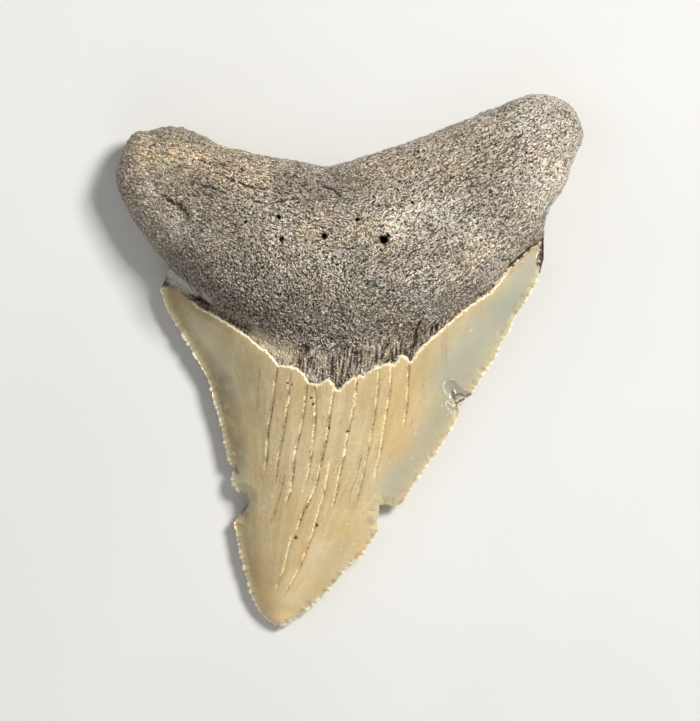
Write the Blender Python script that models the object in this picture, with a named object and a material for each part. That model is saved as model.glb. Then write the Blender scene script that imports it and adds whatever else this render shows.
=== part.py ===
"""A fossil megalodon tooth, lying on its flatter labial face with the lingual face up.

Everything is in millimetres until the mesh is made. X runs to the tooth's right, Y away from
the tip and Z up; z = 0 is the surface that the tooth rests on. The solid is two height fields,
lingual and labial, over one outline, and they meet on that outline.
"""

import math

import bpy
import numpy as np
from mathutils import Vector
from mathutils.geometry import delaunay_2d_cdt

MM = 0.001

# Driving dimensions, in millimetres
ROOT_RIM_HEIGHT = 4.8  # where the root is widest, above the surface
ROOT_TOP = 12.6  # the root's lingual face between the middle and the lobes
BULGE = {"height": 5.8, "x": -1.0, "y": 16.5, "width": 15.0, "length": 11.0}  # above ROOT_TOP
LOBES = {"fall": 1.9, "start": 18.0, "length": 16.0}  # how much they thin, out from the middle
ROUNDING = {"lobes": 6.5, "middle": 5.0, "labial": 5.0}  # how far in the root is rounded over
NECK = {"x": -1.0, "width": 13.0}  # the middle of the neck, under the bulge
SHELF = {"least": 0.2, "middle": 3.0, "left": 1.8}  # the neck's flat strip beside the enamel
LEFT_SHELF = {"x": -27.0, "width": 3.0}
RISE = {"least": 5.2, "middle": 3.6}  # how far the root takes to rise from the shelf
LABIAL_HOLLOW = {"depth": 1.5, "x": 0.0, "y": 19.0, "width": 10.0, "length": 8.0}
ENAMEL_STEP = 0.35  # the enamel's edge stands this far above the neck
LABIAL_STEP = 0.22
LABIAL_SHOULDER = {"start": 22.0, "length": 6.0, "step": 0.4, "blend": 3.0}
FLAT_SINK = 0.3  # the labial face is cut flat where it would pass this far below z = 0
LINGUAL_SWELL, LABIAL_SWELL = 1.05, 0.55  # how the crown's two faces round over to its edges
RIM_BLEND = 5.0  # over which the cutting edge's height turns into the root rim's
LEAST_RISE = 0.08  # the lingual face stays this far above the rim

# The cutting edge by kind of stretch: (pitch, depth, least height of a serration as a share)
SERRATIONS = {"fine": (0.88, 0.20, 0.45), "worn": (1.10, 0.20, 0.20)}
SERRATION_ROUNDNESS = 0.6  # the power of the half wave that each one follows
PITCH_SWAY = [(0.20, 1.9), (0.10, 4.3)]  # slow waves that vary the pitch: (share, radians each)
TIP = (-10.4, -40.0)
TIP_WEAR = 5.0  # how far from the tip its serrations are worn away

# The outline, clockwise from the left neck notch: (kind, points). A stretch starts where the
# one before it ends. "broken" ones are straight, the others smooth curves.
OUTLINE = [
    ("round", [  # the root, over the left lobe, the basal arch and the right lobe
        (-27.3, 14.4), (-30.0, 17.4), (-33.0, 21.8), (-34.9, 25.9), (-35.2, 28.4), (-33.9, 32.2),
        (-32.6, 34.1), (-31.6, 34.6), (-30.4, 34.6), (-27.6, 35.3), (-25.8, 35.2), (-22.2, 34.0),
        (-19.3, 32.4), (-16.1, 31.6), (-13.2, 30.9), (-7.5, 30.1), (-5.2, 29.4), (-2.4, 29.4),
        (0.0, 30.1), (2.4, 30.9), (8.1, 32.7), (14.2, 35.0), (21.0, 37.8), (25.5, 39.6),
        (28.2, 40.1), (30.3, 39.9), (32.3, 39.0), (33.8, 37.6), (35.1, 33.9), (33.6, 29.8),
        (32.3, 26.1), (30.4, 23.4), (29.4, 21.3),
    ]),
    ("broken", [(29.2, 19.3), (29.2, 15.3), (28.7, 13.7)]),  # the chipped right shoulder
    ("worn", [
        (28.1, 11.8), (26.6, 9.1), (24.8, 6.4), (24.0, 4.3), (22.8, 2.6), (21.8, 0.2),
        (20.2, -1.9), (19.1, -3.9), (18.2, -5.3),
    ]),
    ("broken", [(17.2, -5.9), (16.5, -6.8), (16.4, -7.8), (16.1, -9.0)]),
    ("worn", [(13.7, -12.9), (10.5, -17.4), (8.1, -21.1)]),
    ("broken", [
        (7.5, -21.9), (6.5, -22.1), (5.4, -21.7), (4.5, -21.9), (4.5, -22.9), (4.2, -24.0),
        (4.3, -25.9),
    ]),
    ("worn", [  # down to the tip, round it and up the left side
        (1.6, -29.4), (-0.3, -31.0), (-1.8, -33.1), (-4.1, -35.4), (-6.8, -37.8), (-8.3, -38.9),
        (-9.4, -39.6), TIP, (-11.5, -39.7), (-12.6, -38.9), (-13.6, -37.8), (-15.0, -35.1),
    ]),
    ("fine", [(-16.5, -29.5), (-17.5, -24.4)]),
    ("broken", [
        (-17.0, -23.6), (-16.3, -22.3), (-15.7, -21.4), (-15.8, -20.5), (-16.3, -19.8),
        (-16.7, -20.1),
    ]),
    ("worn", [(-17.5, -19.1), (-17.8, -17.8), (-17.6, -16.9)]),
    ("broken", [(-17.2, -16.3), (-17.6, -15.9)]),
    ("fine", [(-18.4, -14.7), (-19.5, -9.2), (-20.9, -4.8)]),
    ("worn", [(-21.8, -2.4), (-24.7, 2.9), (-27.4, 7.3), (-28.6, 10.7)]),
    ("broken", [(-28.0, 11.8), (-27.5, 13.1), (-27.3, 14.4)]),
]
# Chipped face along each broken stretch, in the outline's order: (reach, depth)
CHIPS = [(1.3, 0.6), (0.9, 0.5), (1.7, 0.6), (1.5, 0.8), (0.9, 0.5), (0.7, 0.3)]

# The unbroken cutting edges, tip to shoulder, from which the crown's swell is measured
LEFT_EDGE = [
    TIP, (-12.9, -38.6), (-15.0, -35.1), (-16.6, -29.5), (-17.6, -24.4), (-18.2, -17.5),
    (-19.5, -9.2), (-21.8, -2.4), (-24.7, 2.9), (-27.4, 7.3), (-28.7, 10.7), (-28.7, 14.0),
]
RIGHT_EDGE = [
    TIP, (-6.6, -37.8), (-1.8, -33.1), (1.6, -29.4), (4.9, -25.4), (8.1, -21.1), (13.7, -12.9),
    (17.6, -6.6), (21.9, 0.3), (24.8, 6.1), (28.0, 11.2), (29.3, 19.0),
]
# Height of the crown's middle above its cutting edges, from the tip up: (y, height)
CROWN_SWELL = [
    (-40.0, 0.3), (-38.5, 1.5), (-35.0, 3.0), (-30.0, 4.3), (-20.0, 6.0), (-8.0, 7.7),
    (4.0, 9.0), (14.0, 9.6), (19.0, 9.7),
]
# Height of the cutting edges above the surface: (y, height)
EDGE_HEIGHT = [(-40.0, 1.5), (-36.0, 1.9), (-20.0, 2.6), (-4.0, 3.0), (19.0, 3.6)]

# The enamel's scalloped upper border on the lingual face, left to right
ENAMEL_LINE = [
    (-29.5, 10.9), (-27.0, 11.3), (-25.5, 10.6), (-22.5, 7.9), (-20.2, 6.8), (-17.7, 5.2),
    (-15.4, 3.7), (-13.4, 1.9), (-12.5, 1.5), (-11.4, 0.2), (-10.6, -0.8), (-9.0, -0.9),
    (-7.4, -1.5), (-6.8, -2.2), (-6.1, -3.4), (-4.6, -3.6), (-3.4, -2.8), (-2.4, -3.6),
    (-2.2, -4.5), (-1.5, -4.3), (-0.6, -3.3), (0.2, -2.7), (1.2, -2.3), (2.1, -2.3),
    (3.0, -1.5), (3.7, -1.0), (5.8, -0.3), (6.5, -0.7), (7.4, 0.5), (8.3, 0.6), (9.0, -0.3),
    (9.8, 0.7), (10.4, 1.7), (11.5, 2.7), (13.1, 4.1), (17.4, 7.8), (19.7, 9.4), (21.1, 10.2),
    (22.2, 11.5), (23.8, 13.5), (25.9, 15.4), (27.5, 16.8), (29.0, 17.9), (30.0, 18.6),
]
# The neck's smooth middle line, which its height follows: (x, y)
NECK_LINE = [
    (-29.5, 11.2), (-24.0, 9.2), (-16.0, 4.0), (-10.0, -0.8), (-4.0, -3.3), (1.0, -2.9),
    (7.0, -0.2), (13.0, 4.3), (20.0, 9.6), (26.0, 15.5), (30.0, 18.6),
]
# The enamel's border on the labial face: y = LABIAL_LINE_Y + LABIAL_LINE_SAG * (x / 28)^2
LABIAL_LINE_Y = 8.6
LABIAL_LINE_SAG = 4.2
LABIAL_LINE_HALF = 28.0

# Furrows in root and neck: (depth, half width, points)
FURROWS = [
    (0.45, 0.7, [(-28.8, 25.2), (-27.0, 24.0), (-25.5, 23.1), (-24.4, 21.9), (-24.0, 20.7)]),
    (0.32, 0.7, [
        (-18.3, 27.9), (-16.5, 26.9), (-13.8, 26.0), (-9.0, 26.1), (-4.5, 26.1), (-1.2, 24.6),
    ]),
    (0.55, 0.5, [(10.7, 6.2), (10.1, 4.2), (9.6, 2.4), (9.2, 1.2)]),
    (0.45, 0.5, [(-24.4, 10.1), (-22.8, 9.2), (-20.6, 8.0)]),
]
FURROW_TAPER = 1.6  # over which a furrow deepens from each of its ends
# Nutrient pits: (x, y, radius, depth)
PITS = [
    (5.0, 18.0, 0.62, 1.6), (-3.8, 18.5, 0.45, 1.1), (1.1, 21.0, 0.32, 0.7),
    (-10.6, 21.4, 0.32, 0.7),
]
# Flake scars in the enamel: (depth, half width, points)
SCARS = [
    (0.40, 1.05, [(15.1, -3.9), (15.7, -4.7), (17.4, -5.5)]),
    (0.25, 0.68, [(15.1, -6.6), (15.9, -7.4)]),
]
# The root's slow lumps, as products of two waves:
# (height, (waves along X, along Y, start), (waves along X, along Y, start)), in radians per mm
LUMPS = [
    (0.13, (0.62, 0.35, 0.0), (-0.22, 0.71, 1.0)), (0.10, (1.31, -0.90, 2.0), (0.40, 1.07, 0.0)),
]

# Mesh fineness, in millimetres
CURVE_STEP = 0.2
STEP_ROUND = 1.7
STEP_BROKEN = 0.7
SERRATION_SAMPLES = 4
# Rows of points inside the outline: (how far in, spacing)
ROOT_RINGS = [(0.15, 1.7), (0.7, 1.7), (1.7, 1.8), (3.2, 2.0), (5.0, 2.2)]
EDGE_RINGS = [(0.42, 0.42), (1.0, 0.80), (2.1, 1.45)]
BROKEN_RINGS = [(0.16, 0.7)]
GRID_TOP = 1.75
GRID_BOTTOM = 3.2
GRID_HALF = (36, 41)  # the lattice's half width and half length
GRID_SHAKE = 0.12  # as a share of the lattice's step
GRID_SEED = 7
DETAIL_STEP = 1.0
PIT_RINGS, PIT_SIDES = (0.5, 1.05), 7  # circles of points, as shares of the radius
SCAR_RINGS, SCAR_SIDES = (0.6, 1.0), 9
NEAR_BLOCK = 400  # points measured at a time
LEDGE_STEP = 0.8
LEDGE_HALF_WIDTH = 0.13
LEDGE_SPAN = (-27.9, 28.4)
LABIAL_LEDGE_STEP = 1.4
LABIAL_LEDGE_SPAN = (-26.6, 27.4)
RIM_CLEAR = 0.12  # between the rim and any point inside it
DETAIL_CLEAR = 0.35  # between a detail's points and the rings
LATTICE_CLEAR = 2.4  # between the rim and the lattice
LATTICE_GAP = 0.62  # between the lattice and other points, as a share of its step

ENAMEL_COLOUR = (0.50, 0.41, 0.26, 1.0)
ROOT_COLOUR = (0.19, 0.165, 0.15, 1.0)


def curve(points, step):
    """Points about a step apart on a smooth curve through the given ones."""
    p = np.array(points, float)
    p = np.vstack([2 * p[0] - p[1], p, 2 * p[-1] - p[-2]])
    made = []
    for a, b, c, d in zip(p, p[1:], p[2:], p[3:]):
        n = max(1, round(np.linalg.norm(c - b) / step))
        t = (np.arange(n) / n)[:, None]
        made.append(
            b + 0.5 * t * (c - a)
            + t**2 * (a - 2.5 * b + 2 * c - 0.5 * d)
            + t**3 * (-0.5 * a + 1.5 * b - 1.5 * c + 0.5 * d)
        )
    return np.vstack([*made, p[-2:-1]])


def resampled(line, step):
    """The same line with its points spaced evenly, about a step apart."""
    along = np.concatenate([[0], np.cumsum(np.linalg.norm(np.diff(line, axis=0), axis=1))])
    n = max(1, round(along[-1] / step))
    at = np.linspace(0, along[-1], n + 1)
    return np.column_stack([np.interp(at, along, line[:, k]) for k in (0, 1)])


def inward(line):
    """Unit normals that point into the tooth, along a clockwise line."""
    tangent = np.gradient(line, axis=0)
    tangent /= np.linalg.norm(tangent, axis=1)[:, None]
    return np.column_stack([tangent[:, 1], -tangent[:, 0]])


def serrations(place, kind, seed):
    """Height of the serrations, 0 in each nick and up to 1 between, at places counted in them."""
    rng = np.random.default_rng(seed)
    place = place + sum(share * np.sin(pace * place + seed) for share, pace in PITCH_SWAY)
    strength = rng.uniform(SERRATIONS[kind][2], 1.1, int(place.max()) + 3)
    wave = np.abs(np.sin(place * math.pi)) ** SERRATION_ROUNDNESS
    return wave * strength[np.floor(place).astype(int) + 1]


def serrated(line, kind, seed):
    """The cutting edge with its rounded serrations, each a bump between two narrow nicks."""
    pitch, depth, _ = SERRATIONS[kind]
    line = resampled(line, pitch / SERRATION_SAMPLES)
    bump = serrations(np.arange(len(line)) / SERRATION_SAMPLES, kind, seed) - 0.5
    bump *= depth * smooth(np.linalg.norm(line - np.array(TIP), axis=1) / TIP_WEAR)
    bump[[0, -1]] = 0
    return line - inward(line) * bump[:, None]


def outline():
    """The rim of the tooth, and the same line without its serrations, by kind of stretch."""
    rim, plain = [], []
    start = OUTLINE[-1][1][-1]
    for seed, (kind, points) in enumerate(OUTLINE):
        points = points if points[0] == start else [start, *points]
        start = points[-1]
        if kind == "broken":
            line = resampled(np.array(points, float), STEP_BROKEN)
        else:
            line = resampled(curve(points, CURVE_STEP), STEP_ROUND)
        plain.append((kind, line))
        if kind in SERRATIONS:
            line = serrated(curve(points, CURVE_STEP), kind, seed)
        rim.append(line[:-1])
    return np.vstack(rim), plain


def distance(points, line):
    """How far each point is from the line."""
    a, along = line[:-1], np.diff(line, axis=0)
    length = np.maximum((along**2).sum(axis=1), 1e-12)
    offset = points[:, None, :] - a
    share = np.clip((offset * along).sum(axis=2) / length, 0, 1)
    return np.linalg.norm(offset - share[..., None] * along, axis=2).min(axis=1)


def smooth(t):
    t = np.clip(t, 0, 1)
    return t * t * (3 - 2 * t)


def hump(x, middle, width):
    """1 at the middle, falling away on either side."""
    return np.exp(-(((x - middle) / width) ** 2))


def table(pairs, x):
    """A smooth curve through the pairs, read at x."""
    k, v = np.array(pairs, float).T
    slope = np.gradient(v, k)
    x = np.clip(x, k[0], k[-1])
    i = np.clip(np.searchsorted(k, x, side="right") - 1, 0, len(k) - 2)
    width = k[i + 1] - k[i]
    t = (x - k[i]) / width
    return (
        v[i] * (1 + 2 * t) * (1 - t) ** 2 + slope[i] * width * t * (1 - t) ** 2
        + v[i + 1] * t * t * (3 - 2 * t) - slope[i + 1] * width * t * t * (1 - t)
    )


def edge_x(edge, y):
    line = curve(edge, CURVE_STEP)
    line = line[np.argsort(line[:, 1])]
    return np.interp(y, line[:, 1], line[:, 0])


def enamel_y(x):
    return np.interp(x, *np.array(ENAMEL_LINE, float).T)


def labial_y(x):
    return LABIAL_LINE_Y + LABIAL_LINE_SAG * (x / LABIAL_LINE_HALF) ** 2


def labial_blend(x):
    """How far above its border the labial enamel turns into root."""
    side = smooth((np.abs(x) - LABIAL_SHOULDER["start"]) / LABIAL_SHOULDER["length"])
    return LABIAL_SHOULDER["step"] + LABIAL_SHOULDER["blend"] * side


def across(x, y):
    """0 on either cutting edge and 1 halfway between them."""
    left, right = edge_x(LEFT_EDGE, y), edge_x(RIGHT_EDGE, y)
    u = np.clip((x - left) / np.maximum(right - left, 0.1), 0, 1)
    return 4 * u * (1 - u)


def crown_top(x, y):
    return table(EDGE_HEIGHT, y) + table(CROWN_SWELL, y) * across(x, y) ** LINGUAL_SWELL


def rim_height(x, y):
    """Where the lingual and the labial face meet: the cutting edge, or the root's widest line."""
    root = smooth((y - table(NECK_LINE, x)) / RIM_BLEND)
    return table(EDGE_HEIGHT, y) * (1 - root) + ROOT_RIM_HEIGHT * root


def lumps(x, y):
    height = np.zeros(len(x))
    for most, *waves in LUMPS:
        one, other = (np.sin(a * x + b * y + start) for a, b, start in waves)
        height += most * one * other
    return height


def root_top(x, y, root_line):
    """The root's lingual face, rounded over towards its outline."""
    middle = hump(x, BULGE["x"], BULGE["width"])
    full = ROOT_TOP + BULGE["height"] * middle * hump(y, BULGE["y"], BULGE["length"])
    full -= LOBES["fall"] * smooth((np.abs(x) - LOBES["start"]) / LOBES["length"])
    full += lumps(x, y)
    reach = ROUNDING["lobes"] + ROUNDING["middle"] * middle
    t = np.clip(distance(np.column_stack([x, y]), root_line) / reach, 0, 1)
    return ROOT_RIM_HEIGHT + (full - ROOT_RIM_HEIGHT) * np.sqrt(1 - (1 - t) ** 2)


def bowl(away, reach):
    """A round-bottomed hollow, 1 deep in its middle and 0 from its reach outwards."""
    return np.clip(1 - (away / reach) ** 2, 0, 1)


def chipped(points, plain):
    """Depth of the bevels that slope down to each break in the edge."""
    depth = np.zeros(len(points))
    breaks = [line for kind, line in plain if kind == "broken"]
    for line, (reach, deep) in zip(breaks, CHIPS):
        depth = np.maximum(depth, deep * np.clip(1 - distance(points, line) / reach, 0, 1))
    return depth


def top_height(x, y, plain):
    """The lingual face: the crown, the neck below the enamel's edge, and the root."""
    middle = hump(x, NECK["x"], NECK["width"])
    shelf = SHELF["least"] + SHELF["middle"] * middle
    shelf += SHELF["left"] * hump(x, LEFT_SHELF["x"], LEFT_SHELF["width"])
    neck_y = table(NECK_LINE, x)
    t = np.clip((y - neck_y - shelf) / (RISE["least"] + RISE["middle"] * middle), 0, 1)
    rise = (1 - (1 - t) ** 2.2) * (1 - middle) + smooth(t) * middle
    neck = crown_top(x, np.minimum(y, neck_y)) - ENAMEL_STEP
    root = neck * (1 - rise) + root_top(x, y, plain[0][1]) * rise
    height = np.where(y > enamel_y(x), root, crown_top(x, y))
    points = np.column_stack([x, y])
    for depth, half_width, line in FURROWS:
        line = np.array(line)
        from_ends = np.linalg.norm(points[:, None] - line[[0, -1]], axis=2).min(axis=1)
        cut = depth * np.clip(1 - distance(points, line) / half_width, 0, 1)
        height -= cut * np.clip(from_ends / FURROW_TAPER, 0, 1)
    for cx, cy, radius, depth in PITS:
        height -= depth * bowl(np.hypot(x - cx, y - cy), radius)
    for depth, half_width, line in SCARS:
        height -= depth * bowl(distance(points, np.array(line)), half_width)
    height -= chipped(points, plain)
    return np.maximum(height, rim_height(x, y) + LEAST_RISE)


def bottom_height(x, y, plain):
    """The labial face: gently convex on the crown, hollow in the root's middle, flat in places."""
    edge = table(EDGE_HEIGHT, y)
    crown = edge - (edge + FLAT_SINK) * across(x, y) ** LABIAL_SWELL
    t = np.clip(distance(np.column_stack([x, y]), plain[0][1]) / ROUNDING["labial"], 0, 1)
    sunk = LABIAL_HOLLOW
    hollow = sunk["depth"] * hump(x, sunk["x"], sunk["width"]) * hump(y, sunk["y"], sunk["length"])
    floor = hollow - FLAT_SINK + LABIAL_STEP
    root = ROOT_RIM_HEIGHT - (ROOT_RIM_HEIGHT - floor) * np.sqrt(1 - (1 - t) ** 2)
    share = smooth((y - labial_y(x)) / labial_blend(x))
    return np.maximum(crown * (1 - share) + root * share, 0)


def rings(plain):
    """Rows of points just inside the outline, closer together on the root's rounded rim."""
    made = []
    whole = np.vstack([line for _, line in plain])
    for kind, line in plain:
        rows = ROOT_RINGS if kind == "round" else EDGE_RINGS
        if kind == "broken":
            rows = BROKEN_RINGS + EDGE_RINGS
        for depth, step in rows:
            row = resampled(line, step)
            row = row + inward(row) * depth
            made.append(row[distance(row, whole) > 0.9 * depth])
    return np.vstack(made)


def grid(step):
    """A triangular lattice, shaken a little so that no row shows."""
    rng = np.random.default_rng(GRID_SEED)
    half_width, half_length = GRID_HALF
    rows = np.arange(-half_length, half_length, step * math.sqrt(0.75))
    points = [
        (x + (step / 2 if k % 2 else 0), y)
        for k, y in enumerate(rows)
        for x in np.arange(-half_width, half_width, step)
    ]
    return np.array(points) + rng.uniform(-GRID_SHAKE, GRID_SHAKE, (len(points), 2)) * step


def details(plain):
    """Points that hold the furrows, pits, scars and chips of the lingual face."""
    made = []
    for _, half_width, line in FURROWS + SCARS:
        row = resampled(np.array(line, float), DETAIL_STEP)
        made += [row, row + inward(row) * half_width, row - inward(row) * half_width]
    for cx, cy, radius, _ in PITS:
        made += circles(cx, cy, radius, PIT_RINGS, PIT_SIDES)
    for _, half_width, line in SCARS:
        made += circles(*line[0], half_width, SCAR_RINGS, SCAR_SIDES)
    breaks = [line for kind, line in plain if kind == "broken"]
    for line, (reach, _) in zip(breaks, CHIPS):
        made.append(line + inward(line) * reach)
    return np.vstack(made)


def circles(cx, cy, radius, shares, count):
    angle = np.arange(count) * math.tau / count
    ring = radius * np.column_stack([np.cos(angle), np.sin(angle)])
    return [np.array([(cx, cy)]), *(ring * share + (cx, cy) for share in shares)]


def ledge():
    """The two lines, a hair apart, between which the enamel's edge drops to the neck."""
    line = resampled(np.array(ENAMEL_LINE, float), LEDGE_STEP)
    line = line[(line[:, 0] > LEDGE_SPAN[0]) & (line[:, 0] < LEDGE_SPAN[1])]
    return [line + (0, LEDGE_HALF_WIDTH), line - (0, LEDGE_HALF_WIDTH)]


def labial_ledge():
    """The two lines between which the labial face passes from enamel to root."""
    x = np.arange(*LABIAL_LEDGE_SPAN, LABIAL_LEDGE_STEP)
    low = np.column_stack([x, labial_y(x)])
    return [low, low + np.column_stack([0 * x, labial_blend(x)])]


def thinned(points, kept, gap):
    """The points that are at least a gap from those already kept."""
    out = []
    for k in range(0, len(points), NEAR_BLOCK):
        block = points[k : k + NEAR_BLOCK]
        near = np.linalg.norm(block[:, None] - kept, axis=2).min(axis=1)
        out.append(block[near > gap])
    return np.vstack(out)


def triangulated(rim, inside, lines):
    """Triangles over the outline's inside: the rim's own points come first, in their order."""
    points = [*rim, *inside]
    edges = [(k, (k + 1) % len(rim)) for k in range(len(rim))]
    for line in lines:
        first = len(points)
        points += list(line)
        edges += [(first + k, first + k + 1) for k in range(len(line) - 1)]
    verts, _, faces, origin, _, _ = delaunay_2d_cdt(
        [Vector(p) for p in points], edges, [list(range(len(rim)))], 1, 1e-7
    )
    flat = np.array([v[:] for v in verts])
    where = {}
    for k, sources in enumerate(origin):
        for source in sources:
            where[source] = k
    order = [where[k] for k in range(len(rim))]
    rest = [k for k in range(len(flat)) if k not in set(order)]
    place = {old: new for new, old in enumerate(order + rest)}
    return flat[order + rest], [[place[k] for k in face] for face in faces]


def layer(rim, plain, step, extra, lines):
    """The plan of one face: rim, details, rings and lattice, none too near another."""
    closed = np.vstack([rim, rim[:1]])
    if len(extra):
        extra = extra[distance(extra, closed) > RIM_CLEAR]
    row = rings(plain)
    row = row[distance(row, closed) > RIM_CLEAR]
    fixed = np.vstack([extra, *lines])
    row = thinned(row, fixed, DETAIL_CLEAR)
    lattice = grid(step)
    lattice = lattice[distance(lattice, closed) > LATTICE_CLEAR]
    lattice = thinned(lattice, np.vstack([fixed, row]), LATTICE_GAP * step)
    return triangulated(rim, np.vstack([extra, row, lattice]), lines)


def tooth_mesh():
    rim, plain = outline()
    top_plan, top_faces = layer(rim, plain, GRID_TOP, details(plain), ledge())
    bottom_plan, bottom_faces = layer(rim, plain, GRID_BOTTOM, np.empty((0, 2)), labial_ledge())
    top_z = top_height(*top_plan.T, plain)
    bottom_z = bottom_height(*bottom_plan.T, plain)
    count = len(rim)
    top_z[:count] = rim_height(*rim.T)
    bottom = np.column_stack([bottom_plan, bottom_z])[count:]
    verts = np.vstack([np.column_stack([top_plan, top_z]), bottom])
    shift = len(top_plan) - count
    lower = [[k if k < count else k + shift for k in reversed(face)] for face in bottom_faces]
    middle = (rim.min(axis=0) + rim.max(axis=0)) / 2
    verts[:, :2] -= middle
    mesh = bpy.data.meshes.new("tooth")
    mesh.from_pydata((verts * MM).tolist(), [], top_faces + lower)
    faces = [*((face, top_plan, enamel_y) for face in top_faces),
             *((face, bottom_plan, labial_y) for face in bottom_faces)]
    for polygon, (face, plan, border) in zip(mesh.polygons, faces):
        x, y = plan[face].mean(axis=0)
        polygon.material_index = int(y > border(x))
    return mesh


def material(name, colour, roughness):
    made = bpy.data.materials.new(name)
    made.use_nodes = True
    shader = made.node_tree.nodes["Principled BSDF"]
    shader.inputs["Base Color"].default_value = colour
    shader.inputs["Roughness"].default_value = roughness
    return made


def main():
    for obj in list(bpy.data.objects):
        bpy.data.objects.remove(obj, do_unlink=True)
    mesh = tooth_mesh()
    mesh.materials.append(material("enamel", ENAMEL_COLOUR, 0.35))
    mesh.materials.append(material("root", ROOT_COLOUR, 0.75))
    mesh.shade_smooth()
    mesh.set_sharp_from_angle(angle=math.radians(40))
    bpy.context.scene.collection.objects.link(bpy.data.objects.new("tooth", mesh))


main()
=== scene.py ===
"""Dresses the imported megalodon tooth: a fine mesh over the same outline and heights as the CAD
solid, with its grain, cracks and chips, procedural materials, a pale floor, lights and camera.

Lengths are in millimetres until a mesh or an object is made.
"""

import math

import bpy
import numpy as np
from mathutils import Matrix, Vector, noise
from mathutils.geometry import delaunay_2d_cdt
from mathutils.kdtree import KDTree


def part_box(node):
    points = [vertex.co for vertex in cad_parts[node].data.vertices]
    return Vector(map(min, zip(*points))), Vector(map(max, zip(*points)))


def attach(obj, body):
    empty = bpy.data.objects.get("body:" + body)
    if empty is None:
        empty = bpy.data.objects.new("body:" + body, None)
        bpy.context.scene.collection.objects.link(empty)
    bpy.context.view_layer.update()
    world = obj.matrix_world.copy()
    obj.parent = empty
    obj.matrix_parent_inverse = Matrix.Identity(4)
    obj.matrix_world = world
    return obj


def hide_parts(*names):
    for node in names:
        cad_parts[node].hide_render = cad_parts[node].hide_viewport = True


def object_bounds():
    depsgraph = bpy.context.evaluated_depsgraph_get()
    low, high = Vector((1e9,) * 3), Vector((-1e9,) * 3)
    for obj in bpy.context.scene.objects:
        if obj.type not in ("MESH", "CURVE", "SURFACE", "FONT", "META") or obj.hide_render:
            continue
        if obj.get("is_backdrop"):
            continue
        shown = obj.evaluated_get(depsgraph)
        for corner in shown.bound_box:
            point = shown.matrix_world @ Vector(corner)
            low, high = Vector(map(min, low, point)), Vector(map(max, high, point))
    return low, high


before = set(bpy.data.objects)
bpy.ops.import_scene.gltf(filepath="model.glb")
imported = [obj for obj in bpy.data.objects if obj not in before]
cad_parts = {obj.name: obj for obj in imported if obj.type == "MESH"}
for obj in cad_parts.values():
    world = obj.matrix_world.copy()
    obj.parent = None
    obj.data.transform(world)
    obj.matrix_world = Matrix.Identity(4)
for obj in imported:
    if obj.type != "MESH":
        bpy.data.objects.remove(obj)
cad_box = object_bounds()

MM = 0.001

# ---------------------------------------------------------------- the tooth's driving sizes

# The cutting edge by kind of stretch: (pitch, depth, least height of a serration as a share)
SERRATIONS = {"fine": (0.88, 0.20, 0.45), "worn": (1.10, 0.20, 0.20)}
SERRATION_ROUNDNESS = 0.6  # the power of the half wave that each one follows
PITCH_SWAY = [(0.20, 1.9), (0.10, 4.3)]  # slow waves that vary the pitch: (share, radians each)
RIM_SWELL = 0.11  # height of the small swellings of the root's rim
BREAK_JAG = 0.05  # how far the long broken stretches of the outline are jagged
ROOT_RIM_HEIGHT = 4.8  # of the root's outline over the floor
ROOT_TOP = 12.6  # height of the root's lingual face beside its bulge
ROOT_MIDDLE_X = -1.0
ROOT_BULGE, ROOT_BULGE_Y = 5.8, 16.5  # how much higher its bulge is, and where
LOBE_REACH, MIDDLE_REACH = 6.5, 5.0  # the lingual rounding at the lobes, and what the middle adds
LABIAL_REACH = 5.0  # the labial rounding
LABIAL_HOLLOW = 1.5  # depth of the labial hollow between the lobes
LOBE_FALL = 1.9  # how much lower the lobes are than the root's middle, but for its bulge
ENAMEL_STEP = 0.35  # how far the neck lies below the enamel's border
FLAT_SINK = 0.3  # how far the flat labial crown would sink below the floor's height

TIP = (-10.4, -40.0)
TIP_WEAR = 5.0  # how far from the tip its serrations are worn away

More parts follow.
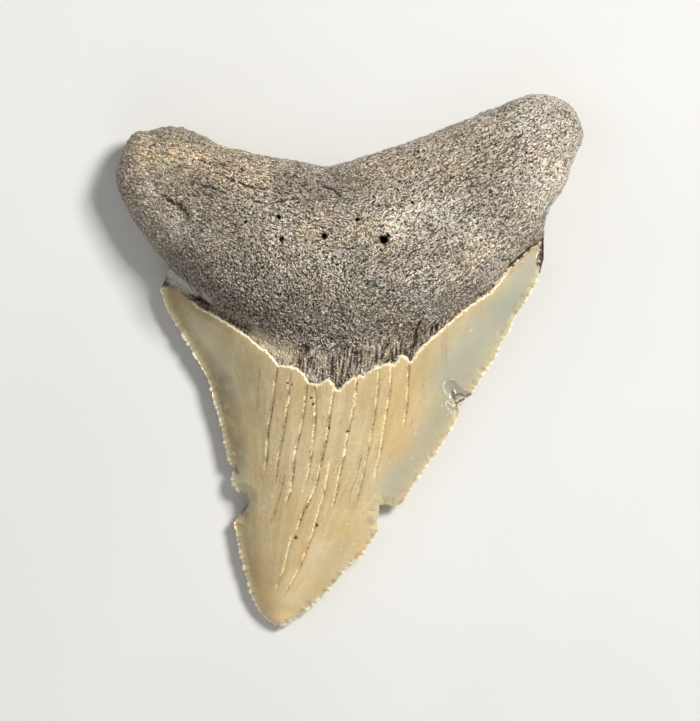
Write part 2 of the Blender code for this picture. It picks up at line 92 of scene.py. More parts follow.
# The outline, clockwise from the root's left corner: (kind of stretch, points)
OUTLINE = [
    ("round", [
        (-27.3, 14.4), (-30, 17.4), (-33, 21.8), (-34.9, 25.9), (-35.2, 28.4), (-33.9, 32.2),
        (-32.6, 34.1), (-31.6, 34.6), (-30.4, 34.6), (-27.6, 35.3), (-25.8, 35.2), (-22.2, 34),
        (-19.3, 32.4), (-16.1, 31.6), (-13.2, 30.9), (-7.5, 30.1), (-5.2, 29.4), (-2.4, 29.4),
        (0, 30.1), (2.4, 30.9), (8.1, 32.7), (14.2, 35), (21, 37.8), (25.5, 39.6), (28.2, 40.1),
        (30.3, 39.9), (32.3, 39), (33.8, 37.6), (35.1, 33.9), (33.6, 29.8), (32.3, 26.1),
        (30.4, 23.4), (29.4, 21.3),
    ]),
    ("broken", [(29.2, 19.3), (29.2, 15.3), (28.7, 13.7)]),
    ("worn", [
        (28.1, 11.8), (26.6, 9.1), (24.8, 6.4), (24, 4.3), (22.8, 2.6), (21.8, 0.2),
        (20.2, -1.9), (19.1, -3.9), (18.2, -5.3),
    ]),
    ("broken", [(17.2, -5.9), (16.5, -6.8), (16.4, -7.8), (16.1, -9)]),
    ("worn", [(13.7, -12.9), (10.5, -17.4), (8.1, -21.1)]),
    ("broken", [
        (7.5, -21.9), (6.5, -22.1), (5.4, -21.7), (4.5, -21.9), (4.5, -22.9), (4.2, -24),
        (4.3, -25.9),
    ]),
    ("worn", [
        (1.6, -29.4), (-0.3, -31), (-1.8, -33.1), (-4.1, -35.4), (-6.8, -37.8), (-8.3, -38.9),
        (-9.4, -39.6), TIP, (-11.5, -39.7), (-12.6, -38.9), (-13.6, -37.8), (-15, -35.1),
    ]),
    ("fine", [(-16.5, -29.5), (-17.5, -24.4)]),
    ("broken", [
        (-17, -23.6), (-16.3, -22.3), (-15.7, -21.4), (-15.8, -20.5), (-16.3, -19.8),
        (-16.7, -20.1),
    ]),
    ("worn", [(-17.5, -19.1), (-17.8, -17.8), (-17.6, -16.9)]),
    ("broken", [(-17.2, -16.3), (-17.6, -15.9)]),
    ("fine", [(-18.4, -14.7), (-19.5, -9.2), (-20.9, -4.8)]),
    ("worn", [(-21.8, -2.4), (-24.7, 2.9), (-27.4, 7.3), (-28.6, 10.7)]),
    ("broken", [(-28, 11.8), (-27.5, 13.1), (-27.3, 14.4)]),
]
# The cutting edges without their chips, from the tip up: (x, y)
LEFT_EDGE = [
    TIP, (-12.9, -38.6), (-15, -35.1), (-16.6, -29.5), (-17.6, -24.4), (-18.2, -17.5),
    (-19.5, -9.2), (-21.8, -2.4), (-24.7, 2.9), (-27.4, 7.3), (-28.7, 10.7), (-28.7, 14),
]
RIGHT_EDGE = [
    TIP, (-6.6, -37.8), (-1.8, -33.1), (1.6, -29.4), (4.9, -25.4), (8.1, -21.1), (13.7, -12.9),
    (17.6, -6.6), (21.9, 0.3), (24.8, 6.1), (28, 11.2), (29.3, 19),
]
# How much higher the crown is halfway between its edges: (y, height)
CROWN_SWELL = [
    (-40, 0.3), (-38.5, 1.5), (-35, 3), (-30, 4.3), (-20, 6), (-8, 7.7),
    (4, 9), (14, 9.6), (19, 9.7),
]
# Height of the edges: (y, height)
EDGE_HEIGHT = [(-40, 1.5), (-36, 1.9), (-20, 2.6), (-4, 3), (19, 3.6)]
# The enamel's lingual border: (x, y)
ENAMEL_LINE = [
    (-29.5, 10.9), (-27, 11.3), (-25.5, 10.6), (-22.5, 7.9), (-20.2, 6.8), (-17.7, 5.2),
    (-15.4, 3.7), (-13.4, 1.9), (-12.5, 1.5), (-11.4, 0.2), (-10.8, -0.5), (-10.6, -0.9),
    (-10.1, -0.7), (-9, -0.9), (-8.1, -1.1), (-7.4, -1.5), (-6.8, -2.2), (-6.4, -2.9),
    (-6.1, -3.4), (-4.6, -3.6), (-4.3, -3.4), (-3.9, -3), (-3.4, -2.8), (-2.8, -3.1),
    (-2.4, -3.6), (-2.2, -4.5), (-1.5, -4.3), (-1.1, -3.9), (-0.6, -3.3), (0.2, -2.7),
    (1.2, -2.3), (2.1, -2.3), (3, -1.5), (3.7, -1), (5.2, -0.6), (5.8, -0.3), (6.5, -0.7),
    (7, -0.2), (7.4, 0.5), (7.8, 0.9), (8.3, 0.6), (9, -0.3), (9.8, 0.7), (10.4, 1.7),
    (11.5, 2.7), (13.1, 4.1), (17.4, 7.8), (19.7, 9.4), (21.1, 10.2), (22.2, 11.5),
    (23.8, 13.5), (25.9, 15.4), (27.5, 16.8), (29, 17.9), (30, 18.6),
]
LABIAL_LINE_Y = 8.6  # of the enamel's labial border in its middle
LABIAL_LINE_SAG = 4.2  # how much higher the border is 28 mm from there
LABIAL_STEP = 0.22  # how far the labial root lies above the flat crown

# ---------------------------------------------------------------- surface features

# The neck's smooth middle line, which its height follows: (x, y)
NECK_LINE = [
    (-29.5, 11.2), (-24, 9.2), (-16, 4), (-10, -0.8), (-4, -3.3), (1, -2.9),
    (7, -0.2), (13, 4.3), (20, 9.6), (26, 15.5), (30, 18.6),
]
# Furrows in root and neck: (depth, half width, darkness of their painted shade, points)
FURROWS = [
    (0.45, 0.55, 0.7, [(-28.8, 25.2), (-27, 24), (-25.5, 23.1), (-24.4, 21.9), (-24, 20.7)]),
    (0.42, 0.3, 0.7, [(-18.3, 27.6), (-16.6, 26.9), (-15.1, 26.2), (-12.9, 25.8), (-11.6, 26.1)]),
    (0.24, 0.2, 0.4, [(-12, 26), (-10.1, 26.4), (-8.8, 26), (-7.4, 26.5), (-5, 26.2)]),
    (0.38, 0.28, 0.7, [(-5.4, 26.3), (-2.9, 25.9), (-1.6, 24.8), (-1.3, 24.2)]),
    (0.3, 0.3, 0.6, [(-20.4, 30.2), (-18.6, 29.2), (-16.6, 28.9), (-14.6, 28)]),
    (0.28, 0.3, 0.5, [(-24.6, 27.4), (-22.4, 26.2), (-19.8, 25.6), (-17.6, 24.6)]),
    (0.22, 0.2, 0.6, [(-23.6, 30.6), (-21.6, 29.8), (-19.4, 28.8)]),
    (0.22, 0.2, 0.6, [(-21.4, 28.6), (-19.2, 27.9), (-17.4, 26.9), (-15, 26.4)]),
    (0.22, 0.18, 0.5, [(-22.6, 25.2), (-20.2, 24.2), (-18.4, 23)]),
    (0.22, 0.18, 0.5, [(-13.6, 22.4), (-11.4, 21.8), (-9.4, 20.8)]),
    (0.22, 0.18, 0.5, [(-11, 27.4), (-8.2, 27.6), (-5.8, 27.2)]),
    (0.3, 0.35, 0.6, [(-15, 24), (-12, 23.4), (-9, 24.2), (-6, 24)]),
    (0.22, 0.4, 0.4, [(2, 23.9), (4.4, 23.2), (7.5, 23.6), (9.6, 24.3)]),
    (0.3, 0.22, 0.8, [(0, 3.3), (-0.8, 1.3), (-1.1, -1.6), (-1.5, -3.9)]),
    (0.55, 0.35, 1, [(10.7, 6.2), (10.1, 4.2), (9.6, 2.4), (9.2, 1.2)]),
    (0.42, 0.3, 0.75, [(-24.4, 10.1), (-22.8, 9.2), (-20.6, 8)]),
    (0.2, 0.3, 0.25, [(-20.4, 7.6), (-16.4, 5.2), (-13.4, 3)]),
    (0.3, 0.45, 0.8, [(-7.6, 2.8), (-6.9, 2.3), (-6, 1.3), (-5.6, 0.8)]),
    (0.25, 0.4, 0.4, [(-5.6, 4), (-3, 3.2), (-0.4, 3.4), (1.6, 3.9)]),
    (0.25, 0.25, 0.6, [(-0.6, 1.6), (0.6, 1.1), (1.9, 1.3)]),
    (0.35, 0.26, 1, [(23.3, 13.4), (24.3, 14.4), (25.8, 15.7), (27.4, 17), (28.6, 17.9)]),
    (0.25, 0.3, 0.6, [(-26.5, 14), (-25, 13), (-24, 11), (-22.6, 9.6)]),
    (0.25, 0.35, 0.6, [(21, 15.8), (23.4, 14.9), (25.8, 17)]),
]
# Nutrient pits, darkened with painted shade: (x, y, radius, depth)
PITS = [
    (5, 18, 0.58, 2.2), (5.7, 18.6, 0.3, 0.5), (-3.8, 18.5, 0.4, 1.6),
    (1.1, 21, 0.27, 1.1), (-10.6, 21.4, 0.27, 0.9), (-10.2, 18.1, 0.42, 0.35),
    (-15.6, 20.7, 0.18, 0.3), (9.3, 23.6, 0.22, 0.25), (3.3, 8.4, 0.2, 0.35),
    (-1.9, 14.3, 0.18, 0.3),
]
# Cracks down the enamel: (darkness, creaminess, points)
CRACKS = [
    (0.3, 0, [(-13.5, 0.6), (-13.6, -2.1), (-13.8, -4.3), (-14, -8.8)]),
    (0.8, 0.45, [
        (-10.9, -0.9), (-11.2, -3.6), (-11.4, -5.5), (-11.8, -8.1), (-12.2, -10.3),
        (-12.4, -14.1), (-12.9, -17.6),
    ]),
    (0.7, 0.85, [
        (-8.8, -1.6), (-9.1, -3.4), (-9.1, -5.7), (-9.5, -8.1), (-9.9, -10.7), (-10.3, -12.9),
        (-10.7, -14.8), (-11.1, -17.8), (-11.5, -19.1),
    ]),
    (0.55, 0, [(-9.8, -17), (-10.2, -19.1), (-10.9, -21.6), (-11.4, -23.1), (-12.2, -25.1)]),
    (0.7, 0.75, [
        (-6.3, -3.4), (-6.6, -5.8), (-6.9, -8.1), (-7.5, -11.1), (-8.1, -13.6), (-8.4, -16.1),
        (-8.8, -19.3), (-9.3, -20.8), (-9.8, -22.6),
    ]),
    (0.65, 0.75, [
        (-5.3, -3.6), (-5.1, -6.8), (-5.2, -9.6), (-5.5, -12.5), (-5.8, -14.8), (-6.3, -17.8),
        (-6.6, -19.3),
    ]),
    (0.9, 0.6, [
        (-2.3, -4.3), (-2.7, -6.6), (-3, -8.5), (-3.3, -11), (-3.8, -13.3), (-4.3, -15.6),
        (-5, -18.6), (-6, -21.1), (-6.9, -22.6), (-7.6, -24.6), (-8.1, -26.4),
    ]),
    (0.3, 1.15, [
        (-8.7, -26.6), (-9.2, -28.6), (-9.6, -30.4), (-10, -31.9), (-10.8, -33.8),
        (-11.4, -35.1),
    ]),
    (0.45, 1.3, [
        (-2.9, -15.3), (-3.2, -17.1), (-3.6, -19.3), (-4.4, -21.9), (-5, -24),
        (-5.6, -26.3), (-6.5, -28.6), (-7.3, -30.7), (-8.2, -32.5), (-9.2, -34.2),
        (-10.3, -35.9),
    ]),
    (0.7, 0.8, [
        (1.1, -2.4), (0.8, -5.8), (0.4, -8.1), (-0.1, -10.5), (-0.7, -13.8), (-1.1, -15.6),
        (-1.6, -17.6), (-1.9, -19.3), (-2.5, -21.9), (-2.9, -22.9),
    ]),
    (0.6, 0.35, [
        (4.4, -1.2), (4.2, -4.8), (3.8, -8.1), (3.1, -12), (2.5, -15.1), (1.8, -18.4),
        (1.2, -20.6), (0.8, -22.3),
    ]),
    (0.5, 0.15, [
        (1.8, -14.1), (1.3, -16.3), (0.8, -18.1), (0.3, -19.1), (-0.1, -21), (-0.6, -22.6),
    ]),
    (0.55, 0.8, [
        (6.3, -0.7), (6.1, -4.5), (5.6, -7.6), (5.1, -10.5), (4.6, -14.1), (4, -16.3),
        (3.8, -18.6),
    ]),
    (0.8, 0.75, [(8.9, -0.2), (8.8, -3.1), (8.6, -6.9), (8.2, -9.2), (7.9, -10.6)]),
    (0.2, 0, [(13.9, 3.6), (13.9, -1.6)]),
    (0.2, 0, [(14.5, 4.6), (14.4, -2.5)]),
]
# Dark spots in the enamel: (x, y, radius)
SPOTS = [
    (-8.1, -26.4, 0.3), (-5, -24.6, 0.27), (-6, -13.5, 0.2), (-0.4, -10.5, 0.2),
    (-5.7, -5.5, 0.25), (-5.5, -6.4, 0.24), (-3.1, -10.1, 0.22), (-9.3, -3.3, 0.2),
    (-8.7, -3.5, 0.16), (1.1, -3.4, 0.16),
]
# Flake scars in the enamel: (depth, half width, points)
SCARS = [
    (0.4, 1.05, [(15.1, -3.9), (15.7, -4.7), (17.4, -5.5)]),
    (0.25, 0.68, [(15.1, -6.6), (15.9, -7.4)]),
]
# Small crescents bitten from the cutting edges' faces: (x, y, radius, depth)
BITES = [
    (25.9, 9.4, 0.65, 0.2), (24.8, 7.1, 0.55, 0.18), (22.8, 4, 0.6, 0.2),
    (21, 0.1, 0.45, 0.12), (19.8, -1.4, 0.55, 0.2), (18.7, -3.4, 0.55, 0.2),
    (12.2, -14.2, 0.5, 0.12), (9.8, -17.9, 0.5, 0.12), (3.4, -26.4, 0.6, 0.18),
    (1, -29.5, 0.55, 0.16), (-2.6, -33.2, 0.5, 0.15), (-6.4, -36.6, 0.75, 0.22),
    (-16.9, -27.2, 0.45, 0.1), (-22.6, -1.2, 0.5, 0.12), (-20.4, -4.6, 0.45, 0.12),
]
# Chipped face along each broken stretch of the outline, in its order: (reach, depth)
CHIPS = [(1.3, 0.6), (0.9, 0.5), (1.7, 0.5), (1.5, 0.8), (0.9, 0.5), (0.7, 0.3)]
# Long shallow hollows in the enamel: (depth, half width, points)
HOLLOWS = [
    (0.22, 1.6, [(-27.2, 10), (-25.3, 6.6), (-23.6, 3.6), (-22, 0.4), (-20.6, -4)]),
    (0.18, 1.7, [(-15.6, -21.5), (-15.6, -27), (-14.3, -33.5)]),
    (-0.2, 1.3, [(-8.4, -36.6), (-4.9, -31.6), (-1.6, -27.8)]),
]
# Stains and paler places, with painted shade and highlights among them: tone: [(strength, radius,
# points)]
TONES = {
    "blue": [
        (1.05, 3.8, [(26.7, 14.6), (25.3, 11.6), (22, 6.3), (18, 1.4), (15, -3)]),
        (0.85, 2.4, [(14.4, -6.4), (11.2, -11.6), (8.8, -15.2), (6.4, -18.6)]),
        (0.6, 3, [(-23, 5.2), (-20.2, 0.6), (-18.6, -3.6)]),
        (0.55, 1.8, [(-17, -13.6), (-16.4, -18)]),
        (0.45, 1.2, [(-4.9, -31.6), (-1.6, -27.8)]),
    ],
    "gold": [
        (0.8, 3.4, [(8.4, -2.6), (8, -7), (6.6, -12)]),
        (0.7, 2.6, [(-1, -25), (2, -26.6), (-2.6, -31.6), (-6.4, -36.4)]),
        (0.8, 2, [(-13, -36), (-14.6, -30)]),
        (0.6, 3, [(-7.6, -22), (-8.2, -27)]),
        (0.45, 0.6, [(12, 2.6), (17.6, 7.4), (21.6, 10.4), (24.6, 13.4)]),
    ],
    "honey": [(1.1, 1.5, [(-11.2, -39.2), (-9, -38.6)]), (0.3, 1.6, [(-10.6, -35.6), (-8, -33)])],
    # Olive tone, partly painted shade down the crown's left side and at its left shoulder
    "olive": [
        (0.6, 3, [(-27, 9.6), (-25.2, 8.6), (-23, 7.2)]),
        (0.9, 0.9, [(-26.2, 8), (-24.3, 4.4), (-22.8, 2), (-21, -0.7), (-20.2, -4)]),
        (0.5, 2, [(-18.6, 3), (-15.6, -1.6), (-14.6, -8)]),
        (0.95, 2.2, [(-19.8, -3.6), (-18.6, -9), (-17.2, -14)]),
        (0.55, 1.2, [(-15.4, -21), (-15.6, -27), (-14.6, -33)]),
    ],
    "cream": [
        (0.45, 1.1, [(-10.6, -39.4), (-9.4, -38.6)]),
        (0.35, 2.4, [(-9.4, -36.4), (-7, -32.6), (-5, -28.6)]),
        (0.3, 1.6, [(2.6, -27), (-2, -32)]),
        # The last stroke, on the crown's left shoulder, is a painted highlight
        (0.25, 3, [(-6, -14), (-6.6, -20)]), (0.3, 1.5, [(-23.2, 5.6), (-21.4, 2.6)]),
    ],
    # Umber stains, and painted shade under the neck's wedge, along the border and down the crown's
    # left side
    "umber": [
        (1, 0.45, [(-27.3, 11.2), (-25.7, 10.3), (-24, 9.2)]),
        (0.45, 0.4, [(-23.4, 7.9), (-20.4, 6.1), (-17.6, 4.4)]),
        (0.8, 0.4, [(24, 13.4), (25.9, 15.2), (27.5, 16.6), (28.6, 17.4)]),
        (0.5, 0.35, [(3, -26.6), (3.4, -27.4)]),
        (0.35, 0.5, [(-4.6, -4.2), (-4.9, -5.4)]), (0.16, 2, [(-19.4, -3), (-18.2, -8.6)]),
    ],
    "orange": [
        (1, 0.32, [(-6.7, -27.4), (-7.2, -29), (-7.7, -30.4)]),
        (0.8, 0.26, [(-3.6, -16), (-3.9, -17.4)]),
        (0.9, 0.3, [(-5.6, -4.2), (-5, -4.9)]),
        (0.7, 0.28, [(-9.2, -8.3), (-9.4, -9.2)]),
        (0.8, 0.3, [(2, -28.4), (0.6, -29.8)]),
        (0.55, 0.3, [(-6.1, -31.6), (-8.6, -34.6)]),
        (0.45, 0.4, [(-10, -15.6), (-10.3, -17.6)]),
    ],
    "slate": [
        (0.75, 0.85, [(15, -3.8), (15.7, -4.7), (16.8, -5.1)]),
        (0.45, 0.5, [(15.1, -6.7), (15.8, -7.3)]), (0.55, 0.45, [(2.9, -23.9), (3.8, -24.1)]),
        (0.45, 0.4, [(27.9, 13.3), (28, 13)]),
    ],
    "bark": [
        (1, 0.55, [(29.1, 17.3), (28.7, 16), (28.5, 14.6)]),
        (1, 0.22, [(16.3, -6.2), (17.2, -5.8)]), (1, 0.2, [(15.9, -6.3), (16, -6.8)]),
    ],
    # Painted shade: dark facets in the flake scar and dark chips along the left edge
    "smoke": [
        (1, 0.3, [(15.5, -4.7), (15.6, -5.5), (15.8, -5.9)]),
        (0.9, 0.14, [(15.9, -5.1), (16.6, -5), (17.4, -5.4)]),
        (0.8, 0.12, [(16, -7.2), (16.1, -7.4)]),
        (0.9, 0.55, [(-15.9, -20.4), (-15.8, -21.6), (-16.5, -22.8)]),
        (0.8, 0.35, [(-17.3, -16.2), (-16.9, -16.8)]),
    ],
    # Chalk bits by the cracks, and painted highlights on the flake scar and the right shoulder's
    # chip
    "chalk": [
        (0.9, 0.2, [(-8.2, -13.4), (-8.4, -14.1)]), (0.8, 0.22, [(-5.2, -7.7), (-5.3, -8.1)]),
        (0.7, 0.17, [(-8.7, -19.2), (-8.9, -19.7)]), (0.8, 0.17, [(-0.6, -13.2), (-0.9, -14.3)]),
        (0.6, 0.17, [(-1.7, -17.2), (-1.8, -17.8)]), (0.8, 0.18, [(-9, -5.2), (-9.2, -6.4)]),
        (0.5, 0.14, [(4.7, -13.9), (4.6, -14.4)]), (0.5, 0.14, [(6.1, -18.2), (6.2, -18.4)]),
        (0.7, 0.17, [(-3.4, -17.2), (-3.7, -18.4)]), (0.6, 0.16, [(1, -4.8), (0.7, -6.8)]),
        (0.7, 0.2, [(-7.1, -19.4), (-7.2, -19.6)]), (1, 0.13, [(15.7, -4.4), (15.9, -4.9)]),
        (1, 0.14, [(15, -5), (15.1, -5.7)]), (1, 0.14, [(15.5, -6.3), (15.8, -6.7)]),
        (0.9, 0.12, [(16.6, -5.6), (17.4, -5.6)]), (0.9, 0.13, [(16.1, -6), (16.3, -5.9)]),
        (0.8, 0.13, [(14.7, -6.2), (15.1, -6.5), (15.6, -6.9)]),
        (0.9, 0.14, [(15.7, -7.6), (16, -7.8)]), (0.8, 0.14, [(28, 15.6), (28.6, 16.8)]),
        (0.9, 0.14, [(28.4, 15.2), (28.5, 14.9)]), (0.8, 0.12, [(28.3, 14.4), (28.6, 14.1)]),
    ],
    "bare": [  # on the neck: smooth grey places with little grain
        (1, 0.9, [(-27.6, 13.2), (-26.6, 12.3), (-25.2, 11.2), (-23.9, 10.2)]),
        (1, 0.6, [(-28, 12.4), (-27.2, 12.6)]), (0.9, 0.2, [(24.4, 14.9), (26.4, 16.7)]),
        (0.25, 0.7, [(-2.6, 1.4), (-3, -0.6)]), (0.6, 0.6, [(-5.4, -2.4), (-5.2, -3)]),
        (0.5, 0.6, [(-22, 10), (-21, 8.8)]), (0.4, 0.8, [(-16.6, 7), (-14, 5.2)]),
    ],
    "bone": [  # on the neck: cream bone showing through
        (1.3, 0.9, [(-13.8, 3.9), (-11.8, 2.1), (-9, 0.6)]),
        (0.5, 0.6, [(-9.6, 2.8), (-8.6, 1.8)]), (0.4, 0.5, [(2.6, 0.6), (4.2, 1.6)]),
    ],
    "crumb": [  # on the root: loose white grains
        (0.6, 0.28, [(-24.2, 13.6), (-22.6, 11.4), (-21.8, 10.2), (-21.3, 9.2), (-20.6, 8.5)]),
        (0.8, 0.9, [(10.6, 9.4), (11.4, 8.8)]),
        (0.8, 0.7, [(19.8, 12.8), (20.8, 13.4), (21.6, 13.4)]),
        (0.5, 0.35, [(13.4, 5.4), (16.4, 8), (19.4, 10.8)]),
        (0.6, 0.8, [(26, 25), (29, 28)]), (0.6, 0.5, [(3, 14.6), (5.6, 13.8)]),
    ],
    "tan": [  # on the root: paler, drier places
        (0.6, 3, [(-31, 31), (-24, 31), (-14, 28.4)]),
        (0.35, 3, [(4, 28), (12, 29.6), (20, 33)]),
        (0.9, 1.2, [(-13.8, 3.6), (-11.8, 2.1), (-9, 0.6)]),
        (0.3, 2.6, [(19, 15), (22.6, 16.4)]),
        (0.3, 2.2, [(-6, 20), (-1, 19.6), (5, 20.2)]),
    ],
    "pale": [  # on the root: greyer, lighter places
        (1, 4.4, [(29.4, 36), (31.4, 31), (29, 26)]),
        (0.5, 3.2, [(17, 20), (20.4, 16.4), (22.4, 14)]),
        (0.35, 3, [(9.6, 12.6), (14, 12.8)]),
        (0.9, 3.4, [(8, 20.6), (14, 21.6)]),
        (0.7, 3.6, [(-32, 31), (-31.6, 26), (-28, 20)]),
        (0.4, 3, [(-10, 19), (-7, 15.6), (-3, 13)]),
        (0.3, 1.6, [(2, 2), (6, 3)]), (0.35, 1.2, [(-5.4, 1), (-1.4, -0.4)]),
        (0.35, 2.4, [(-26, 30.6), (-19, 28), (-14, 26.4)]),
    ],
    "shine": [  # on the root: polished places, with painted glints
        (0.8, 2.6, [(12, 20.4), (16, 22)]),
        (0.9, 1.2, [(10, 9.4), (11.4, 8.4)]),
        (0.9, 1.1, [(19.6, 13.2), (22.4, 15.2)]),
        (0.8, 2.8, [(29, 36.6), (31, 33)]),
        (0.5, 3, [(22, 22), (27, 26)]),
    ],
    "dusk": [  # on the root: darker, purple-grey places, with painted shade under the root's bulge and at its lower left
        (0.7, 3.4, [(-21, 12.6), (-17, 9.6), (-10, 7.6)]),
        (0.75, 2.2, [(-10, 26.6), (-3, 25.8), (2, 26.4)]),
        (0.45, 3, [(-22, 28), (-16, 27)]),
        (0.4, 1.6, [(10.5, 20.4), (12, 22.6)]), (0.3, 2.4, [(-8, 9.4), (-1, 9)]),
        (0.25, 1.2, [(-5, 0.4), (-2.6, 0)]),
        (0.15, 0.45, [(-18, 6.6), (-13.6, 4.9), (-8.6, 4.4), (-2, 4), (3.6, 5), (8, 7)]),
        (0.5, 1.6, [(1.8, 2.2), (6, 3.4), (9, 5)]),
        (0.6, 0.3, [(-1, 2.4), (-1.6, -0.6)]), (0.45, 0.26, [(-6.4, 2.6), (-6.8, 0.8)]),
    ],
}

# Cracks of the labial face's enamel: (darkness, creaminess, points)
LABIAL_CRACKS = [
    (0.5, 0.3, [(-17, 6), (-15.6, -2), (-13.8, -10), (-12.6, -15)]),
    (0.7, 0.6, [(-8, 7.6), (-8, -3), (-9.4, -14), (-10, -22), (-10.6, -28)]),
    (0.4, 0.2, [(-2, 7), (-2.8, -6), (-4.6, -16)]),
    (0.6, 0.5, [(5, 7.4), (3.4, -5), (0.4, -15), (-2.6, -24)]),
    (0.5, 0.3, [(13, 8.6), (11, 0), (8.2, -8)]),
]
LABIAL_TONES = ("blue", "gold", "olive", "tan", "dusk", "pale")

# The root's finest grain, finer than the mesh: (cell length and width, detail, warp)
GRAIN_CELLS = [
    ((0.60, 0.17), 1.0, 0.6), ((0.60, 0.34), 0.5, 0.6), ((2.6, 0.60), 1.5, 0.3),
    ((2.2, 0.46), 2.5, 0.4),
]
GRAIN_LEANS = (-20, -52, 34)  # at the upper left, the lower left and the right, in degrees
PEBBLE_CELLS = ((0.80, 0.38), (0.60, 0.42), (0.80, 0.38))  # there: (length, width)
WRINKLE_WIDTH = 0.46  # of the grain in the mesh
GRAIN_HEIGHT = 0.32
KNOB_HEIGHT = 0.22
CRACK_DEPTH = 0.16
SEAM_HEIGHT = 0.03  # of the cream seam beside a crack

# ---------------------------------------------------------------- mesh fineness

STEP_ROUND, STEP_BROKEN, STEP_BORDER = 0.24, 0.16, 0.16
SERRATION_SAMPLES = 9
PROFILE_STEP = 0.26  # along the root's rounded rim
GRID_ROOT, GRID_CROWN, GRID_LABIAL = 0.163, 0.28, 0.50
GRID_HALF_WIDTH, GRID_HALF_LENGTH = 36, 41
GRID_SHAKE = 0.16  # how far a point is moved, as a share of the lattice's step
GRID_GAP = 0.6  # least distance from the other points, as a share of the step
LEDGE_HALF_WIDTH = 0.1
EDGE_RINGS = {
    "top": [(0.10, 0.11), (0.22, 0.15), (0.38, 0.19), (0.58, 0.23), (0.84, 0.28)],
    "bottom": [(0.14, 0.17), (0.40, 0.30), (0.80, 0.42)],
}
CRACK_ROWS = (-0.44, -0.28, -0.14, 0.0, 0.14, 0.28)
BORDER_ROWS = (-0.50, -0.30, -0.12, 0.12, 0.34)
CLOSE_GAP, RING_GAP = 0.10, 0.075  # least distance between points of these rows

VIEW_HEIGHT = 108.2  # what the picture's height spans on the tooth
CAMERA_DISTANCE = 1200.0
CAMERA_X = 0.1
FLOOR_HALF = 2000.0
FLOOR_DROP = 0.05  # how far the floor is below the tooth


# ---------------------------------------------------------------- lines in the plane

def curve(points, step):
    """Points about a step apart on a smooth curve through the given ones."""
    p = np.array(points, float)
    p = np.vstack([2 * p[0] - p[1], p, 2 * p[-1] - p[-2]])
    made = []
    for a, b, c, d in zip(p, p[1:], p[2:], p[3:]):
        n = max(1, round(np.linalg.norm(c - b) / step))
        t = (np.arange(n) / n)[:, None]
        made.append(
            b + 0.5 * t * (c - a)
            + t**2 * (a - 2.5 * b + 2 * c - 0.5 * d)
            + t**3 * (-0.5 * a + 1.5 * b - 1.5 * c + 0.5 * d)
        )
    return np.vstack([*made, p[-2:-1]])


def steps(line):
    return np.linalg.norm(np.diff(line, axis=0), axis=1)


def resampled(line, step):
    along = np.concatenate([[0], np.cumsum(steps(line))])
    n = max(1, round(along[-1] / step))
    at = np.linspace(0, along[-1], n + 1)
    return np.column_stack([np.interp(at, along, line[:, k]) for k in (0, 1)])


def inward(line):
    """Unit normals that point into the tooth, along a clockwise line."""
    tangent = np.gradient(line, axis=0)
    tangent /= np.linalg.norm(tangent, axis=1)[:, None]
    return np.column_stack([tangent[:, 1], -tangent[:, 0]])


def shifted(line, inwards):
    """The line moved inwards, by one distance or by one for each point."""
    return line + inward(line) * np.reshape(inwards, (-1, 1))


def nearest(points, line):
    """How far each point is from the line, on which side, and how far along the line."""
    a, along = line[:-1], np.diff(line, axis=0)
    length = np.maximum(np.linalg.norm(along, axis=1), 1e-9)
    start = np.concatenate([[0], np.cumsum(length)[:-1]])
    found = []
    for k in range(0, len(points), 4000):
        offset = points[k : k + 4000, None, :] - a
        share = np.clip((offset * along).sum(axis=2) / length**2, 0, 1)
        gap = np.linalg.norm(offset - share[..., None] * along, axis=2)
        best = gap.argmin(axis=1)
        row = np.arange(len(best))
        cross = along[best, 0] * offset[row, best, 1] - along[best, 1] * offset[row, best, 0]
        at = start[best] + share[row, best] * length[best]
        found.append(np.column_stack([gap[row, best], np.sign(cross), at]))
    return np.vstack(found).T


def nearby(points, line, reach):
    """The points close to a line: their numbers, distance, side and place along it."""
    low, high = line.min(axis=0) - reach, line.max(axis=0) + reach
    chosen = np.flatnonzero(((points > low) & (points < high)).all(axis=1))
    if not len(chosen):
        return chosen, *np.empty((3, 0))
    return chosen, *nearest(points[chosen], line)


def serrations(place, kind, seed):
    """Height of the serrations, 0 in each nick and up to 1 between, at places counted in them."""
    rng = np.random.default_rng(seed)
    place = place + sum(share * np.sin(pace * place + seed) for share, pace in PITCH_SWAY)
    strength = rng.uniform(SERRATIONS[kind][2], 1.1, int(place.max()) + 3)
    wave = np.abs(np.sin(place * math.pi)) ** SERRATION_ROUNDNESS
    return wave * strength[np.floor(place).astype(int) + 1]


def serrated(line, kind, seed):
    """The cutting edge with its rounded serrations, each a bump between two narrow nicks."""
    pitch, depth, _ = SERRATIONS[kind]
    line = resampled(line, pitch / SERRATION_SAMPLES)
    bump = serrations(np.arange(len(line)) / SERRATION_SAMPLES, kind, seed) - 0.5
    bump *= depth * smooth(np.linalg.norm(line - np.array(TIP), axis=1) / TIP_WEAR)
    bump[[0, -1]] = 0
    return shifted(line, -bump)


def arch(line):
    """0 at both ends of a line and 1 in its middle."""
    return np.sin(np.linspace(0, math.pi, len(line)))


def uneven(line):
    """The root's rim with its small swellings."""
    x, y = line.T
    wave = noise_at(x / 0.8, y / 0.8, 2.0) + noise_at(x / 2.4, y / 2.4, 4.0)
    return shifted(line, RIM_SWELL * wave * arch(line) ** 0.3)


def jagged(points, seed):
    """A broken stretch of the outline, with a little jag if it is long."""
    line = resampled(np.array(points, float), STEP_BROKEN)
    jag = BREAK_JAG * np.sin(np.arange(len(line)) * 2.1 + seed) * (len(line) > 6)
    return shifted(line, jag * arch(line))


